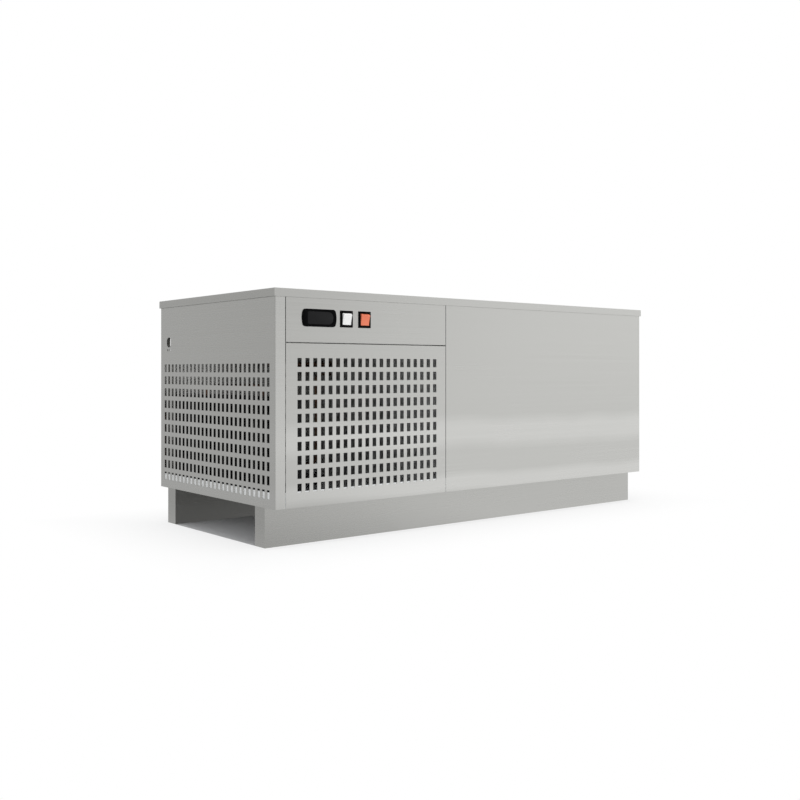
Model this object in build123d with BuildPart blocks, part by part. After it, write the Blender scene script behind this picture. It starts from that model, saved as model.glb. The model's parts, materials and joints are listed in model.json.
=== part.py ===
from build123d import *
from math import cos, radians, sin
import os

# Recirculating chiller: a long low stainless steel cabinet on a two-rail plinth.
# The refrigeration bay is on the left, the insulated reservoir on the right.
# X runs along the front from left to right, Y from front to back and Z up.
# The origin is on the floor, under the middle of the outline, from the rockers to the hose ends.

# Cabinet
body_length = 1100.0
body_depth = 500.0
overall_height = 500.0
bay_length = 429.0
sheet = 1.0
bend_radius = 1.5
panel_gap = 1.5
corner_strip_width = 22.5

# Plinth rails
plinth_height = 78.0
rail_width = 37.0
rail_inset = 38.0
rail_sheet = 2.0

# Lid
lid_overhang = 2.5
lid_skirt = 16.0
lid_core_depth = 22.0
lid_core_clearance = 4.0

# Front and rear panels of the bay
fascia_height = 101.6
fascia_gap = 2.2
fascia_return = 30.0
service_return = 18.0
rear_return = 20.0
tray_lip = 31.0
lip_clearance = 1.0
cross_rail_depth = 22.0
cross_rail_height = 28.0

# Punched pattern
slot_width = 9.5
slot_height = 17.5
slot_pitch_across = 18.0
slot_pitch_up = 27.0
grille_margin = 24.0
end_grille_foot = 26.4

# Cable exit in the end panel
cable_hole_radius = 11.25
cable_hole_from_back = 42.0
cable_hole_below_rim = 93.5
tie_slot_size = 4.6
tie_slot_spacing = 12.0
tie_slot_drop = 17.4

# Controls on the fascia
controls_below_rim = 53.5
controller_from_end = 100.0
controller_width = 78.0
controller_height = 34.5
controller_proud = 3.5
controller_bow = 2.0
controller_corner_cut = 3.5
controller_cutout_width = 71.0
controller_cutout_height = 29.0
controller_depth = 56.0
controller_fit = 0.2
window_width = 61.0
window_height = 26.0
window_corner = 6.0
window_recess = 1.2
clip_length = 18.0
clip_thickness = 3.0
clip_height = 12.0
switch_from_end = 164.8
switch_pitch = 44.7
switch_bezel_width = 29.5
switch_bezel_height = 33.5
switch_bezel_proud = 2.0
switch_body_width = 26.6
switch_body_height = 30.6
switch_body_depth = 26.0
switch_cutout_clearance = 0.2
rocker_width = 20.5
rocker_radius = 12.2
rocker_clearance = 0.3
rocker_pivot_depth = 4.2
rocker_half_travel = 13.0
rocker_ridge_angle = 57.0
rocker_valley = 5.4
rocker_back = 5.0
rocker_well_depth = 18.0
pivot_radius = 1.5
pivot_length = 1.8
trunnion_sides = 12
pivot_clearance = 0.05
terminal_width = 6.3
terminal_thickness = 0.8
terminal_length = 9.0
terminal_spacing = 8.0

# Reservoir
insulation_wall = 35.0
insulation_floor = 40.0

# Condenser and fan
condenser_setback = 24.0
condenser_depth = 42.0
condenser_length = 380.0
condenser_height = 202.0
condenser_lift = 7.0
fin_groove_pitch = 30.0
fin_groove_width = 6.0
fin_groove_depth = 6.0
end_plate_sheet = 1.5
end_plate_foot = 12.0
end_plate_rise = 5.0
shroud_depth = 38.0
fan_ring_radius = 91.0
fan_blade_count = 5
fan_hub_radius = 30.0
fan_hub_length = 24.0
blade_tip_radius = 86.0
blade_chord_root = 40.0
blade_chord_tip = 52.0
blade_pitch = 30.0
blade_thickness = 2.0
shaft_radius = 4.0
shaft_running_clearance = 0.05
shaft_engagement = 12.0
bracket_half_span = 118.0
bracket_strip = 30.0
bracket_sheet = 2.0
bracket_foot = 15.0
bracket_stand = 26.0
bracket_hole_width = 18.0
motor_width = 64.0
motor_corner = 12.0
motor_length = 42.0

# Compressor
compressor_from_end = 215.0
compressor_from_back = 140.0
compressor_radius = 66.0
compressor_height = 150.0
foot_plate_length = 190.0
foot_plate_width = 150.0
foot_plate_sheet = 3.0
foot_corner = 14.0
grommet_width = 20.0
grommet_height = 18.0
grommet_inset = 15.0
terminal_cover_width = 46.0
terminal_cover_depth = 24.0
terminal_cover_height = 58.0
terminal_cover_lift = 40.0
seat_gap = 0.2

# Refrigerant pipes
gas_pipe_radius = 4.0
suction_pipe_radius = 5.0
liquid_pipe_radius = 3.0
pipe_wall_gap = 12.0
passage_clearance = 2.0
stub_offset = 32.0
discharge_over_condenser = 20.0
condenser_outlet_lift = 32.0
drier_radius = 11.0
drier_length = 90.0
drier_run = 65.0
riser_from_partition = 40.0
liquid_below_rim = 166.0
suction_below_rim = 141.0

# Evaporator and the water side
evaporator_from_tank_end = 175.0
evaporator_length = 400.0
evaporator_height = 250.0
evaporator_sheet = 3.0
evaporator_channel = 8.0
evaporator_channel_width = 16.0
evaporator_channel_pitch = 40.0
evaporator_margin = 12.0
evaporator_below_rim = 98.0
spacer_size = 24.0
spacer_inset = 60.0
pump_from_tank_end = 55.0
pump_length = 76.0
pump_width = 60.0
pump_height = 66.0
pump_from_back = 85.0
strainer_depth = 16.0
strainer_slot = 4.0
strainer_slot_pitch = 10.0
riser_width = 26.0
riser_chamfer = 8.0
port_below_rim = 43.0
port_spacing = 80.0
port_radius = 13.2
port_bore = 9.0
port_reach = 22.0
port_hex_thickness = 6.0
port_hex_across_corners = 36.0
port_inside = 18.0
port_hole_clearance = 0.3
drain_from_right = 70.0
drain_above_floor = 20.0
drain_hex_across_corners = 30.0
drain_plug_thickness = 9.0
drain_plug_across_corners = 22.0
probe_radius = 3.0
probe_length = 60.0
probe_from_pump_edge = 12.0

# Electrical box on the partition
electrical_box_length = 110.0
electrical_box_width = 140.0
electrical_box_height = 70.0
electrical_box_from_front = 70.0
electrical_box_below_rim = 18.0
electrical_box_wall = 2.0

# Planes of the cabinet, worked out from the sizes
x_left = -body_length / 2
x_right = body_length / 2
tilt = radians(rocker_half_travel)
ridge = radians(rocker_ridge_angle)
rocker_reach = rocker_radius * cos(ridge - tilt) - rocker_pivot_depth + switch_bezel_proud
y_front = -(body_depth + port_reach - rocker_reach) / 2
y_back = y_front + body_depth
y_middle = (y_front + y_back) / 2
z_body = plinth_height
z_top = overall_height
z_rim = z_top - sheet
z_panel_foot = z_body
x_bay = x_left + bay_length
x_panel_left = x_left + corner_strip_width + panel_gap
x_panel_right = x_bay - panel_gap
panel_width = x_panel_right - x_panel_left
x_panel_middle = (x_panel_left + x_panel_right) / 2
z_fascia_foot = z_rim - fascia_height
z_service_head = z_fascia_foot - fascia_gap
z_lip_top = z_body + tray_lip
z_tray = z_body + sheet
corner_aligned = (Align.MIN, Align.MIN, Align.MIN)
on_its_base = (Align.CENTER, Align.CENTER, Align.MIN)


def sheet_box(low, high, mode=Mode.ADD):
    """A rectangular block between two opposite corners, in the part that is open."""
    with Locations(low):
        Box(high[0] - low[0], high[1] - low[1], high[2] - low[2], align=corner_aligned, mode=mode)


def front_plane(x, y, z):
    """A plane that faces the front, with its x along the cabinet and its y upwards."""
    return Plane(origin=(x, y, z), x_dir=(1, 0, 0), z_dir=(0, -1, 0))


def back_plane(x, y, z):
    """A plane that faces the back, with its x along the cabinet."""
    return Plane(origin=(x, y, z), x_dir=(1, 0, 0), z_dir=(0, 1, 0))


def side_plane(x, y, z):
    """A plane that faces the right end, with its x towards the back and its y upwards."""
    return Plane(origin=(x, y, z), x_dir=(0, 1, 0), z_dir=(1, 0, 0))


def slot_count(span, pitch):
    """How many slots fit across a span with the margin kept at both ends."""
    return int((span - 2 * grille_margin) / pitch) + 1


def cut_round_hole(centre, axis, radius, length):
    """A round hole that starts at a point and runs along an axis, in the part that is open."""
    with Locations(Plane(origin=centre, z_dir=axis)):
        Cylinder(radius, length, align=on_its_base, mode=Mode.SUBTRACT)


os.makedirs("parts", exist_ok=True)

# Plinth rails, folded channels with closed ends that stand open side up under the cabinet
rail_fronts = {
    "plinth_rail_front": y_front + rail_inset,
    "plinth_rail_back": y_back - rail_inset - rail_width,
}
for rail_name, rail_y in rail_fronts.items():
    with BuildPart() as plinth_rail:
        sheet_box((x_left, rail_y, 0), (x_right, rail_y + rail_width, plinth_height))
        offset(
            amount=-rail_sheet,
            openings=plinth_rail.faces().sort_by(Axis.Z)[-1],
            kind=Kind.INTERSECTION,
        )
    plinth_rail.part.label = rail_name
    export_step(plinth_rail.part, f"parts/{rail_name}.step")

# Base tray of the bay, with an upturned lip all round that the panels hook over
with BuildPart() as base_tray:
    sheet_box((x_left + sheet, y_front + sheet, z_body), (x_bay, y_back - sheet, z_lip_top))
    offset(
        amount=-sheet,
        openings=base_tray.faces().sort_by(Axis.Z)[-1],
        kind=Kind.INTERSECTION,
    )
base_tray.part.label = "base_tray"
export_step(base_tray.part, "parts/base_tray.step")

# End panel, one sheet folded round both corners and over the top, punched with slots
end_columns = slot_count(body_depth, slot_pitch_across)
end_rows = int((z_fascia_foot - grille_margin - z_body - end_grille_foot) / slot_pitch_up) + 1
end_grille_middle = z_body + end_grille_foot + (end_rows - 1) * slot_pitch_up / 2
cable_hole = (x_left, y_back - cable_hole_from_back, z_rim - cable_hole_below_rim)
with BuildPart() as end_panel:
    sheet_box((x_left, y_front, z_panel_foot), (x_left + corner_strip_width, y_back, z_rim))
    offset(
        amount=-sheet,
        openings=[
            end_panel.faces().sort_by(Axis.X)[-1],
            end_panel.faces().sort_by(Axis.Z)[0],
        ],
        kind=Kind.INTERSECTION,
    )
    fillet(end_panel.edges().filter_by(Axis.Z).group_by(Axis.X)[0], bend_radius)
    end_plane = Plane(
        origin=(x_left, y_middle, end_grille_middle), x_dir=(0, -1, 0), z_dir=(-1, 0, 0)
    )
    with BuildSketch(end_plane):
        with GridLocations(slot_pitch_across, slot_pitch_up, end_columns, end_rows):
            Rectangle(slot_width, slot_height)
    extrude(amount=-2 * sheet, mode=Mode.SUBTRACT)
    cut_round_hole(cable_hole, (1, 0, 0), cable_hole_radius, 2 * sheet)
    tie_z = cable_hole[2] - tie_slot_drop
    for side in (-1, 1):
        with Locations((x_left, cable_hole[1] + side * tie_slot_spacing / 2, tie_z)):
            Box(3 * sheet, tie_slot_size, tie_slot_size, mode=Mode.SUBTRACT)
end_panel.part.label = "end_panel"
export_step(end_panel.part, "parts/end_panel.step")

# Service grille, a folded panel that hooks over the lip of the base tray
service_height = z_service_head - z_panel_foot
with BuildPart() as service_grille:
    sheet_box(
        (x_panel_left, y_front, z_panel_foot),
        (x_panel_right, y_front + service_return, z_service_head),
    )
    offset(
        amount=-sheet,
        openings=[
            service_grille.faces().sort_by(Axis.Y)[-1],
            service_grille.faces().sort_by(Axis.Z)[0],
        ],
        kind=Kind.INTERSECTION,
    )
    sheet_box(
        (x_panel_left, y_front + sheet, z_panel_foot),
        (x_panel_right, y_front + service_return, z_lip_top + lip_clearance),
        Mode.SUBTRACT,
    )
    with BuildSketch(front_plane(x_panel_middle, y_front, z_panel_foot + service_height / 2)):
        with GridLocations(
            slot_pitch_across,
            slot_pitch_up,
            slot_count(panel_width, slot_pitch_across),
            slot_count(service_height, slot_pitch_up),
        ):
            Rectangle(slot_width, slot_height)
    extrude(amount=-2 * sheet, mode=Mode.SUBTRACT)
service_grille.part.label = "service_grille"
export_step(service_grille.part, "parts/service_grille.step")

# Cross rail behind the seam, which carries the fascia's foot and the grille's head
cross_rail_y = y_front + service_return
with BuildPart() as front_cross_rail:
    sheet_box(
        (x_left + sheet, cross_rail_y, z_fascia_foot - cross_rail_height),
        (x_bay, cross_rail_y + cross_rail_depth, z_fascia_foot),
    )
    offset(
        amount=-sheet,
        openings=[
            front_cross_rail.faces().sort_by(Axis.Y)[-1],
            front_cross_rail.faces().sort_by(Axis.X)[0],
            front_cross_rail.faces().sort_by(Axis.X)[-1],
        ],
        kind=Kind.INTERSECTION,
    )
front_cross_rail.part.label = "front_cross_rail"
export_step(front_cross_rail.part, "parts/front_cross_rail.step")

# Control fascia, a folded tray with cut-outs for the controller and the two switches
z_controls = z_rim - controls_below_rim
x_controller = x_left + controller_from_end
switch_centres = [x_left + switch_from_end + place * switch_pitch for place in range(2)]
with BuildPart() as control_fascia:
    sheet_box(
        (x_panel_left, y_front, z_fascia_foot), (x_panel_right, y_front + fascia_return, z_rim)
    )
    offset(
        amount=-sheet,
        openings=control_fascia.faces().sort_by(Axis.Y)[-1],
        kind=Kind.INTERSECTION,
    )
    with BuildSketch(front_plane(x_controller, y_front, z_controls)):
        Rectangle(controller_cutout_width, controller_cutout_height)
    extrude(amount=-2 * sheet, mode=Mode.SUBTRACT)
    for x_switch in switch_centres:
        with BuildSketch(front_plane(x_switch, y_front, z_controls)):
            Rectangle(
                switch_body_width + 2 * switch_cutout_clearance,
                switch_body_height + 2 * switch_cutout_clearance,
            )
        extrude(amount=-2 * sheet, mode=Mode.SUBTRACT)
control_fascia.part.label = "control_fascia"
export_step(control_fascia.part, "parts/control_fascia.step")

# Rear panel of the bay, a folded panel like the service grille but plain
with BuildPart() as rear_panel:
    sheet_box((x_panel_left, y_back - rear_return, z_panel_foot), (x_panel_right, y_back, z_rim))
    offset(
        amount=-sheet,
        openings=[
            rear_panel.faces().sort_by(Axis.Y)[0],
            rear_panel.faces().sort_by(Axis.Z)[0],
        ],
        kind=Kind.INTERSECTION,
    )
    sheet_box(
        (x_panel_left, y_back - rear_return, z_panel_foot),
        (x_panel_right, y_back - sheet, z_lip_top + lip_clearance),
        Mode.SUBTRACT,
    )
rear_panel.part.label = "rear_panel"
export_step(rear_panel.part, "parts/rear_panel.step")

# Places where pipes and fittings pass through the walls of the reservoir
x_tank = x_bay + sheet + insulation_wall
x_tank_end = x_right - sheet - insulation_wall
y_tank = y_front + sheet + insulation_wall
y_tank_back = y_back - sheet - insulation_wall
z_tank = z_body + sheet + insulation_floor
y_inside_back = y_tank_back - sheet
y_pipes = y_inside_back - pipe_wall_gap
z_liquid = z_rim - liquid_below_rim
z_suction = z_rim - suction_below_rim
x_pump = x_tank + pump_from_tank_end
z_port = z_rim - port_below_rim
y_port_inside = y_inside_back - port_inside
port_centres = [x_pump, x_pump + port_spacing]
x_drain = x_right - drain_from_right
z_drain = z_tank + sheet + drain_above_floor
passage_low = (
    x_bay,
    y_pipes - suction_pipe_radius - passage_clearance,
    z_liquid - liquid_pipe_radius - passage_clearance,
)
passage_high = (
    x_tank + sheet,
    y_pipes + suction_pipe_radius + passage_clearance,
    z_suction + suction_pipe_radius + passage_clearance,
)

# The space the hexagonal bodies of the fittings need, cut from every wall they pass through
port_hole_size = port_hex_across_corners / 2 + port_hole_clearance
drain_hole_size = drain_hex_across_corners / 2 + port_hole_clearance
fitting_holes = [(x_port, z_port, port_hole_size) for x_port in port_centres]
fitting_holes.append((x_drain, z_drain, drain_hole_size))
with BuildPart() as fitting_cutter:
    for x_hole, z_hole, hole_size in fitting_holes:
        with BuildSketch(back_plane(x_hole, y_port_inside, z_hole)):
            RegularPolygon(hole_size, 6)
        extrude(amount=y_back + port_reach - y_port_inside)

# Partition between the bay and the reservoir
with BuildPart() as partition:
    sheet_box((x_bay, y_front + sheet, z_tray), (x_bay + sheet, y_back - sheet, z_rim - sheet))
    sheet_box(passage_low, passage_high, Mode.SUBTRACT)
partition.part.label = "partition"
export_step(partition.part, "parts/partition.step")

# Reservoir casing, folded round the front, the right end and the back, with its own floor
with BuildPart() as reservoir_casing:
    sheet_box((x_bay, y_front, z_body), (x_right, y_back, z_rim - sheet))
    offset(
        amount=-sheet,
        openings=[
            reservoir_casing.faces().sort_by(Axis.X)[0],
            reservoir_casing.faces().sort_by(Axis.Z)[-1],
        ],
        kind=Kind.INTERSECTION,
    )
    fillet(reservoir_casing.edges().filter_by(Axis.Z).group_by(Axis.X)[-1], bend_radius)
    add(fitting_cutter.part, mode=Mode.SUBTRACT)
reservoir_casing.part.label = "reservoir_casing"
export_step(reservoir_casing.part, "parts/reservoir_casing.step")

# Tank liner, a deep welded tub with a flange that covers the insulation
with BuildPart() as tank_liner:
    sheet_box((x_tank, y_tank, z_tank), (x_tank_end, y_tank_back, z_rim))
    offset(
        amount=-sheet,
        openings=tank_liner.faces().sort_by(Axis.Z)[-1],
        kind=Kind.INTERSECTION,
    )
    with BuildSketch(Plane.XY.offset(z_rim - sheet)):
        with Locations(((x_bay + x_right) / 2, y_middle)):
            Rectangle(x_right - x_bay, body_depth)
        with Locations(((x_tank + x_tank_end) / 2, y_middle)):
            Rectangle(x_tank_end - x_tank, y_tank_back - y_tank, mode=Mode.SUBTRACT)
    extrude(amount=sheet)
    sheet_box(passage_low, passage_high, Mode.SUBTRACT)
    add(fitting_cutter.part, mode=Mode.SUBTRACT)
tank_liner.part.label = "tank_liner"
export_step(tank_liner.part, "parts/tank_liner.step")

# Insulation, foamed in between the casing and the liner
with BuildPart() as reservoir_insulation:
    sheet_box(
        (x_bay + sheet, y_front + sheet, z_tray), (x_right - sheet, y_back - sheet, z_rim - sheet)
    )
    sheet_box((x_tank, y_tank, z_tank), (x_tank_end, y_tank_back, z_rim), Mode.SUBTRACT)
    sheet_box(passage_low, passage_high, Mode.SUBTRACT)
    add(fitting_cutter.part, mode=Mode.SUBTRACT)
reservoir_insulation.part.label = "reservoir_insulation"
export_step(reservoir_insulation.part, "parts/reservoir_insulation.step")

# Lid, a folded tray turned over, which rests on the rims of the panels
with BuildPart() as lid:
    sheet_box(
        (x_left - lid_overhang, y_front - lid_overhang, z_top - lid_skirt),
        (x_right + lid_overhang, y_back + lid_overhang, z_top),
    )
    chamfer(lid.edges().group_by(Axis.Z)[-1], bend_radius / 2)
    offset(amount=-sheet, openings=lid.faces().sort_by(Axis.Z)[0], kind=Kind.INTERSECTION)
lid.part.label = "lid"
export_step(lid.part, "parts/lid.step")

# Insulating core under the lid, which drops into the tank's mouth
core_gap = sheet + lid_core_clearance
with BuildPart() as lid_insulation:
    sheet_box(
        (x_tank + core_gap, y_tank + core_gap, z_rim - lid_core_depth),
        (x_tank_end - core_gap, y_tank_back - core_gap, z_rim),
    )
lid_insulation.part.label = "lid_insulation"
export_step(lid_insulation.part, "parts/lid_insulation.step")

# Controller: a bowed bezel and its case in one moulding, with a recess for the window
half_width = controller_width / 2
half_height = controller_height / 2
with BuildPart() as controller_housing:
    with BuildSketch(front_plane(x_controller, y_front, z_controls)):
        with BuildLine():
            shoulder = half_width - controller_bow
            corner = half_height - controller_corner_cut
            right_side = Polyline(
                (shoulder - controller_corner_cut, half_height),
                (shoulder, corner),
                (half_width, corner / 2),
                (half_width, -corner / 2),
                (shoulder, -corner),
                (shoulder - controller_corner_cut, -half_height),
            )
            left_side = mirror(right_side, about=Plane.YZ)
            Line(right_side @ 0, left_side @ 0)
            Line(right_side @ 1, left_side @ 1)
        make_face()
    extrude(amount=controller_proud)
    chamfer(controller_housing.edges().group_by(Axis.Y)[0], window_recess / 2)
    with BuildSketch(front_plane(x_controller, y_front, z_controls)):
        Rectangle(
            controller_cutout_width - 2 * controller_fit,
            controller_cutout_height - 2 * controller_fit,
        )
    extrude(amount=-controller_depth)
    with BuildSketch(front_plane(x_controller, y_front - controller_proud, z_controls)):
        window_opening = Rectangle(window_width, window_height)
        chamfer(window_opening.vertices(), window_corner)
    extrude(amount=-window_recess, mode=Mode.SUBTRACT)
controller_housing.part.label = "controller_housing"
export_step(controller_housing.part, "parts/controller_housing.step")

# Smoked window of the controller, seated in the recess
with BuildPart() as controller_window:
    window_floor = y_front - controller_proud + window_recess
    with BuildSketch(front_plane(x_controller, window_floor, z_controls)):
        window_pane = Rectangle(
            window_width - 2 * controller_fit, window_height - 2 * controller_fit
        )
        chamfer(window_pane.vertices(), window_corner)
    extrude(amount=window_recess - controller_fit)
controller_window.part.label = "controller_window"
export_step(controller_window.part, "parts/controller_window.step")

# Two clips that hold the controller against the back of the fascia
with BuildPart() as controller_clips:
    for side in (-1, 1):
        clip_x = x_controller + side * (
            controller_cutout_width / 2 - controller_fit + clip_thickness / 2
        )
        with Locations((clip_x, y_front + sheet + clip_length / 2, z_controls)):
            Box(clip_thickness, clip_length, clip_height)
controller_clips.part.label = "controller_clips"
export_step(controller_clips.part, "parts/controller_clips.step")

# Rocker switches: each a housing with a well, two terminals and a rocker on its own trunnions
well_width = rocker_width + 2 * rocker_clearance
well_height = 2 * (rocker_radius + rocker_clearance)
y_bezel = y_front - switch_bezel_proud
y_pivot = y_bezel + rocker_pivot_depth
for colour, x_switch in zip(("white", "orange"), switch_centres):
    with BuildPart() as switch_housing:
        with BuildSketch(front_plane(x_switch, y_front, z_controls)):
            Rectangle(switch_bezel_width, switch_bezel_height)
        extrude(amount=switch_bezel_proud)
        chamfer(switch_housing.edges().group_by(Axis.Y)[0], switch_bezel_proud / 3)
        with BuildSketch(front_plane(x_switch, y_front, z_controls)):
            Rectangle(switch_body_width, switch_body_height)
        extrude(amount=-switch_body_depth)
        with BuildSketch(front_plane(x_switch, y_bezel, z_controls)):
            Rectangle(well_width, well_height)
        extrude(amount=-rocker_well_depth, mode=Mode.SUBTRACT)
        with Locations((x_switch, y_pivot, z_controls)):
            Box(
                rocker_width + 2 * (pivot_length + rocker_clearance),
                2 * (pivot_radius + pivot_clearance),
                2 * (pivot_radius + pivot_clearance),
                mode=Mode.SUBTRACT,
            )
    switch_housing.part.label = f"switch_housing_{colour}"
    export_step(switch_housing.part, f"parts/switch_housing_{colour}.step")

    with BuildPart() as switch_terminals:
        y_terminals = y_front + switch_body_depth + terminal_length / 2
        for side in (-1, 1):
            with Locations((x_switch, y_terminals, z_controls + side * terminal_spacing)):
                Box(terminal_width, terminal_length, terminal_thickness)
    switch_terminals.part.label = f"switch_terminals_{colour}"
    export_step(switch_terminals.part, f"parts/switch_terminals_{colour}.step")

    # The rocker is a slice of a drum about its pivot, with a shallow valley across its face
    with BuildPart() as rocker:
        tilted = Plane(
            origin=(x_switch, y_pivot, z_controls),
            x_dir=(0, -cos(tilt), -sin(tilt)),
            z_dir=(-1, 0, 0),
        )
        with BuildSketch(tilted):
            Circle(rocker_radius)
            with BuildLine():
                Polyline(
                    (-rocker_back, 2 * rocker_radius),
                    (rocker_radius * cos(ridge), 2 * rocker_radius),
                    (rocker_radius * cos(ridge), rocker_radius * sin(ridge)),
                    (rocker_valley, 0),
                    (rocker_radius * cos(ridge), -rocker_radius * sin(ridge)),
                    (rocker_radius * cos(ridge), -2 * rocker_radius),
                    (-rocker_back, -2 * rocker_radius),
                    close=True,
                )
            make_face(mode=Mode.INTERSECT)
        extrude(amount=rocker_width / 2, both=True)
        with BuildSketch(side_plane(x_switch, y_pivot, z_controls)):
            RegularPolygon(pivot_radius, trunnion_sides)
        extrude(amount=rocker_width / 2 + pivot_length, both=True)
    rocker.part.label = f"rocker_{colour}"
    export_step(rocker.part, f"parts/rocker_{colour}.step")

# Electrical box on the partition behind the fascia, with a lift-off cover
y_box = y_front + electrical_box_from_front
z_box_top = z_rim - electrical_box_below_rim
with BuildPart() as electrical_box:
    sheet_box(
        (x_bay - electrical_box_length, y_box, z_box_top - electrical_box_height),
        (x_bay, y_box + electrical_box_width, z_box_top),
    )
    offset(
        amount=-electrical_box_wall,
        openings=electrical_box.faces().sort_by(Axis.X)[0],
        kind=Kind.INTERSECTION,
    )
electrical_box.part.label = "electrical_box"
export_step(electrical_box.part, "parts/electrical_box.step")

with BuildPart() as electrical_box_cover:
    sheet_box(
        (
            x_bay - electrical_box_length - electrical_box_wall,
            y_box,
            z_box_top - electrical_box_height,
        ),
        (x_bay - electrical_box_length, y_box + electrical_box_width, z_box_top),
    )
    chamfer(electrical_box_cover.edges().group_by(Axis.X)[0], electrical_box_wall / 2)
electrical_box_cover.part.label = "electrical_box_cover"
export_step(electrical_box_cover.part, "parts/electrical_box_cover.step")

# Condenser, a finned block between two end plates that stand on the base tray
x_core = x_left + condenser_setback
x_core_back = x_core + condenser_depth
x_core_middle = (x_core + x_core_back) / 2
y_core = y_middle - condenser_length / 2
y_core_end = y_middle + condenser_length / 2
z_core = z_tray + condenser_lift
z_core_top = z_core + condenser_height
z_fan = (z_core + z_core_top) / 2
groove_count = int((condenser_length - fin_groove_pitch) / fin_groove_pitch)
with BuildPart() as condenser:
    sheet_box((x_core, y_core, z_core), (x_core_back, y_core_end, z_core_top))
    with BuildSketch(Plane.XY.offset(z_core)):
        with Locations((x_core + fin_groove_depth / 2, y_middle)):
            with GridLocations(0, fin_groove_pitch, 1, groove_count):
                Rectangle(fin_groove_depth, fin_groove_width)
    extrude(amount=condenser_height, mode=Mode.SUBTRACT)
condenser.part.label = "condenser"
export_step(condenser.part, "parts/condenser.step")

end_plates = {
    "condenser_end_plate_front": (y_core, -1),
    "condenser_end_plate_back": (y_core_end, 1),
}
for plate_name, (y_plate, outward) in end_plates.items():
    with BuildPart() as end_plate:
        with BuildSketch(side_plane(x_core, y_plate, z_tray)):
            with BuildLine():
                Polyline(
                    (0, 0),
                    (outward * (end_plate_sheet + end_plate_foot), 0),
                    (outward * (end_plate_sheet + end_plate_foot), end_plate_sheet),
                    (outward * end_plate_sheet, end_plate_sheet),
                    (outward * end_plate_sheet, condenser_lift + condenser_height + end_plate_rise),
                    (0, condenser_lift + condenser_height + end_plate_rise),
                    close=True,
                )
            make_face()
        extrude(amount=condenser_depth)
    end_plate.part.label = plate_name
    export_step(end_plate.part, f"parts/{plate_name}.step")

# Fan shroud, a shallow box on the back of the condenser with the fan's ring opening
x_shroud_face = x_core_back + shroud_depth
with BuildPart() as fan_shroud:
    sheet_box((x_core_back, y_core, z_core), (x_shroud_face, y_core_end, z_core_top))
    offset(
        amount=-sheet,
        openings=fan_shroud.faces().sort_by(Axis.X)[0],
        kind=Kind.INTERSECTION,
    )
    cut_round_hole((x_core_back, y_middle, z_fan), (1, 0, 0), fan_ring_radius, 2 * shroud_depth)
fan_shroud.part.label = "fan_shroud"
export_step(fan_shroud.part, "parts/fan_shroud.step")

# Fan impeller: pitched blades, wider at the tip, moulded with their hub
blade_root = fan_hub_radius - blade_thickness * 2
blade_lean = (0, -sin(radians(blade_pitch)), cos(radians(blade_pitch)))
with BuildPart() as blade:
    with BuildSketch(Plane(origin=(0, 0, 0), x_dir=(1, 0, 0), z_dir=blade_lean)):
        with BuildLine():
            Polyline(
                (blade_root, -blade_chord_root / 2),
                (blade_tip_radius, -blade_chord_tip / 2),
                (blade_tip_radius, blade_chord_tip / 2),
                (blade_root, blade_chord_root / 2),
                close=True,
            )
        make_face()
    extrude(amount=blade_thickness / 2, both=True)

with BuildPart(side_plane(x_shroud_face, y_middle, z_fan)) as fan_impeller:
    Cylinder(fan_hub_radius, fan_hub_length)
    with PolarLocations(0, fan_blade_count):
        add(blade.part)
fan_impeller.part.label = "fan_impeller"
export_step(fan_impeller.part, "parts/fan_impeller.step")

# Motor bracket, a strap that bridges the ring opening behind the fan
x_bridge = x_shroud_face + bracket_stand
x_motor = x_bridge + bracket_sheet
with BuildPart() as fan_bracket:
    with BuildSketch(Plane.XY.offset(z_fan - bracket_strip / 2)):
        with BuildLine() as strap_line:
            Polyline(
                (x_shroud_face, y_middle - bracket_half_span - bracket_foot),
                (x_shroud_face, y_middle - bracket_half_span),
                (x_bridge, y_middle - bracket_half_span),
                (x_bridge, y_middle + bracket_half_span),
                (x_shroud_face, y_middle + bracket_half_span),
                (x_shroud_face, y_middle + bracket_half_span + bracket_foot),
            )
            offset(amount=bracket_sheet, side=Side.RIGHT, kind=Kind.INTERSECTION)
        make_face()
    extrude(amount=bracket_strip)
    with Locations((x_bridge, y_middle, z_fan)):
        Box(3 * bracket_sheet, bracket_hole_width, bracket_hole_width, mode=Mode.SUBTRACT)
fan_bracket.part.label = "fan_bracket"
export_step(fan_bracket.part, "parts/fan_bracket.step")

# Fan motor, a square stack with cut corners and a blind bore that its shaft runs in
motor_plane = side_plane(x_motor, y_middle, z_fan)
with BuildPart(motor_plane) as fan_motor:
    with BuildSketch(motor_plane):
        motor_outline = Rectangle(motor_width, motor_width)
        chamfer(motor_outline.vertices(), motor_corner)
    extrude(amount=motor_length)
    Cylinder(
        shaft_radius + shaft_running_clearance,
        shaft_engagement + seat_gap,
        align=on_its_base,
        mode=Mode.SUBTRACT,
    )
fan_motor.part.label = "fan_motor"
export_step(fan_motor.part, "parts/fan_motor.step")

# Fan shaft, from the back of the hub into the motor
x_hub_back = x_shroud_face + fan_hub_length / 2
with BuildPart(side_plane(x_hub_back, y_middle, z_fan)) as fan_shaft:
    Cylinder(shaft_radius, x_motor + shaft_engagement - x_hub_back, align=on_its_base)
fan_shaft.part.label = "fan_shaft"
export_step(fan_shaft.part, "parts/fan_shaft.step")

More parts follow.
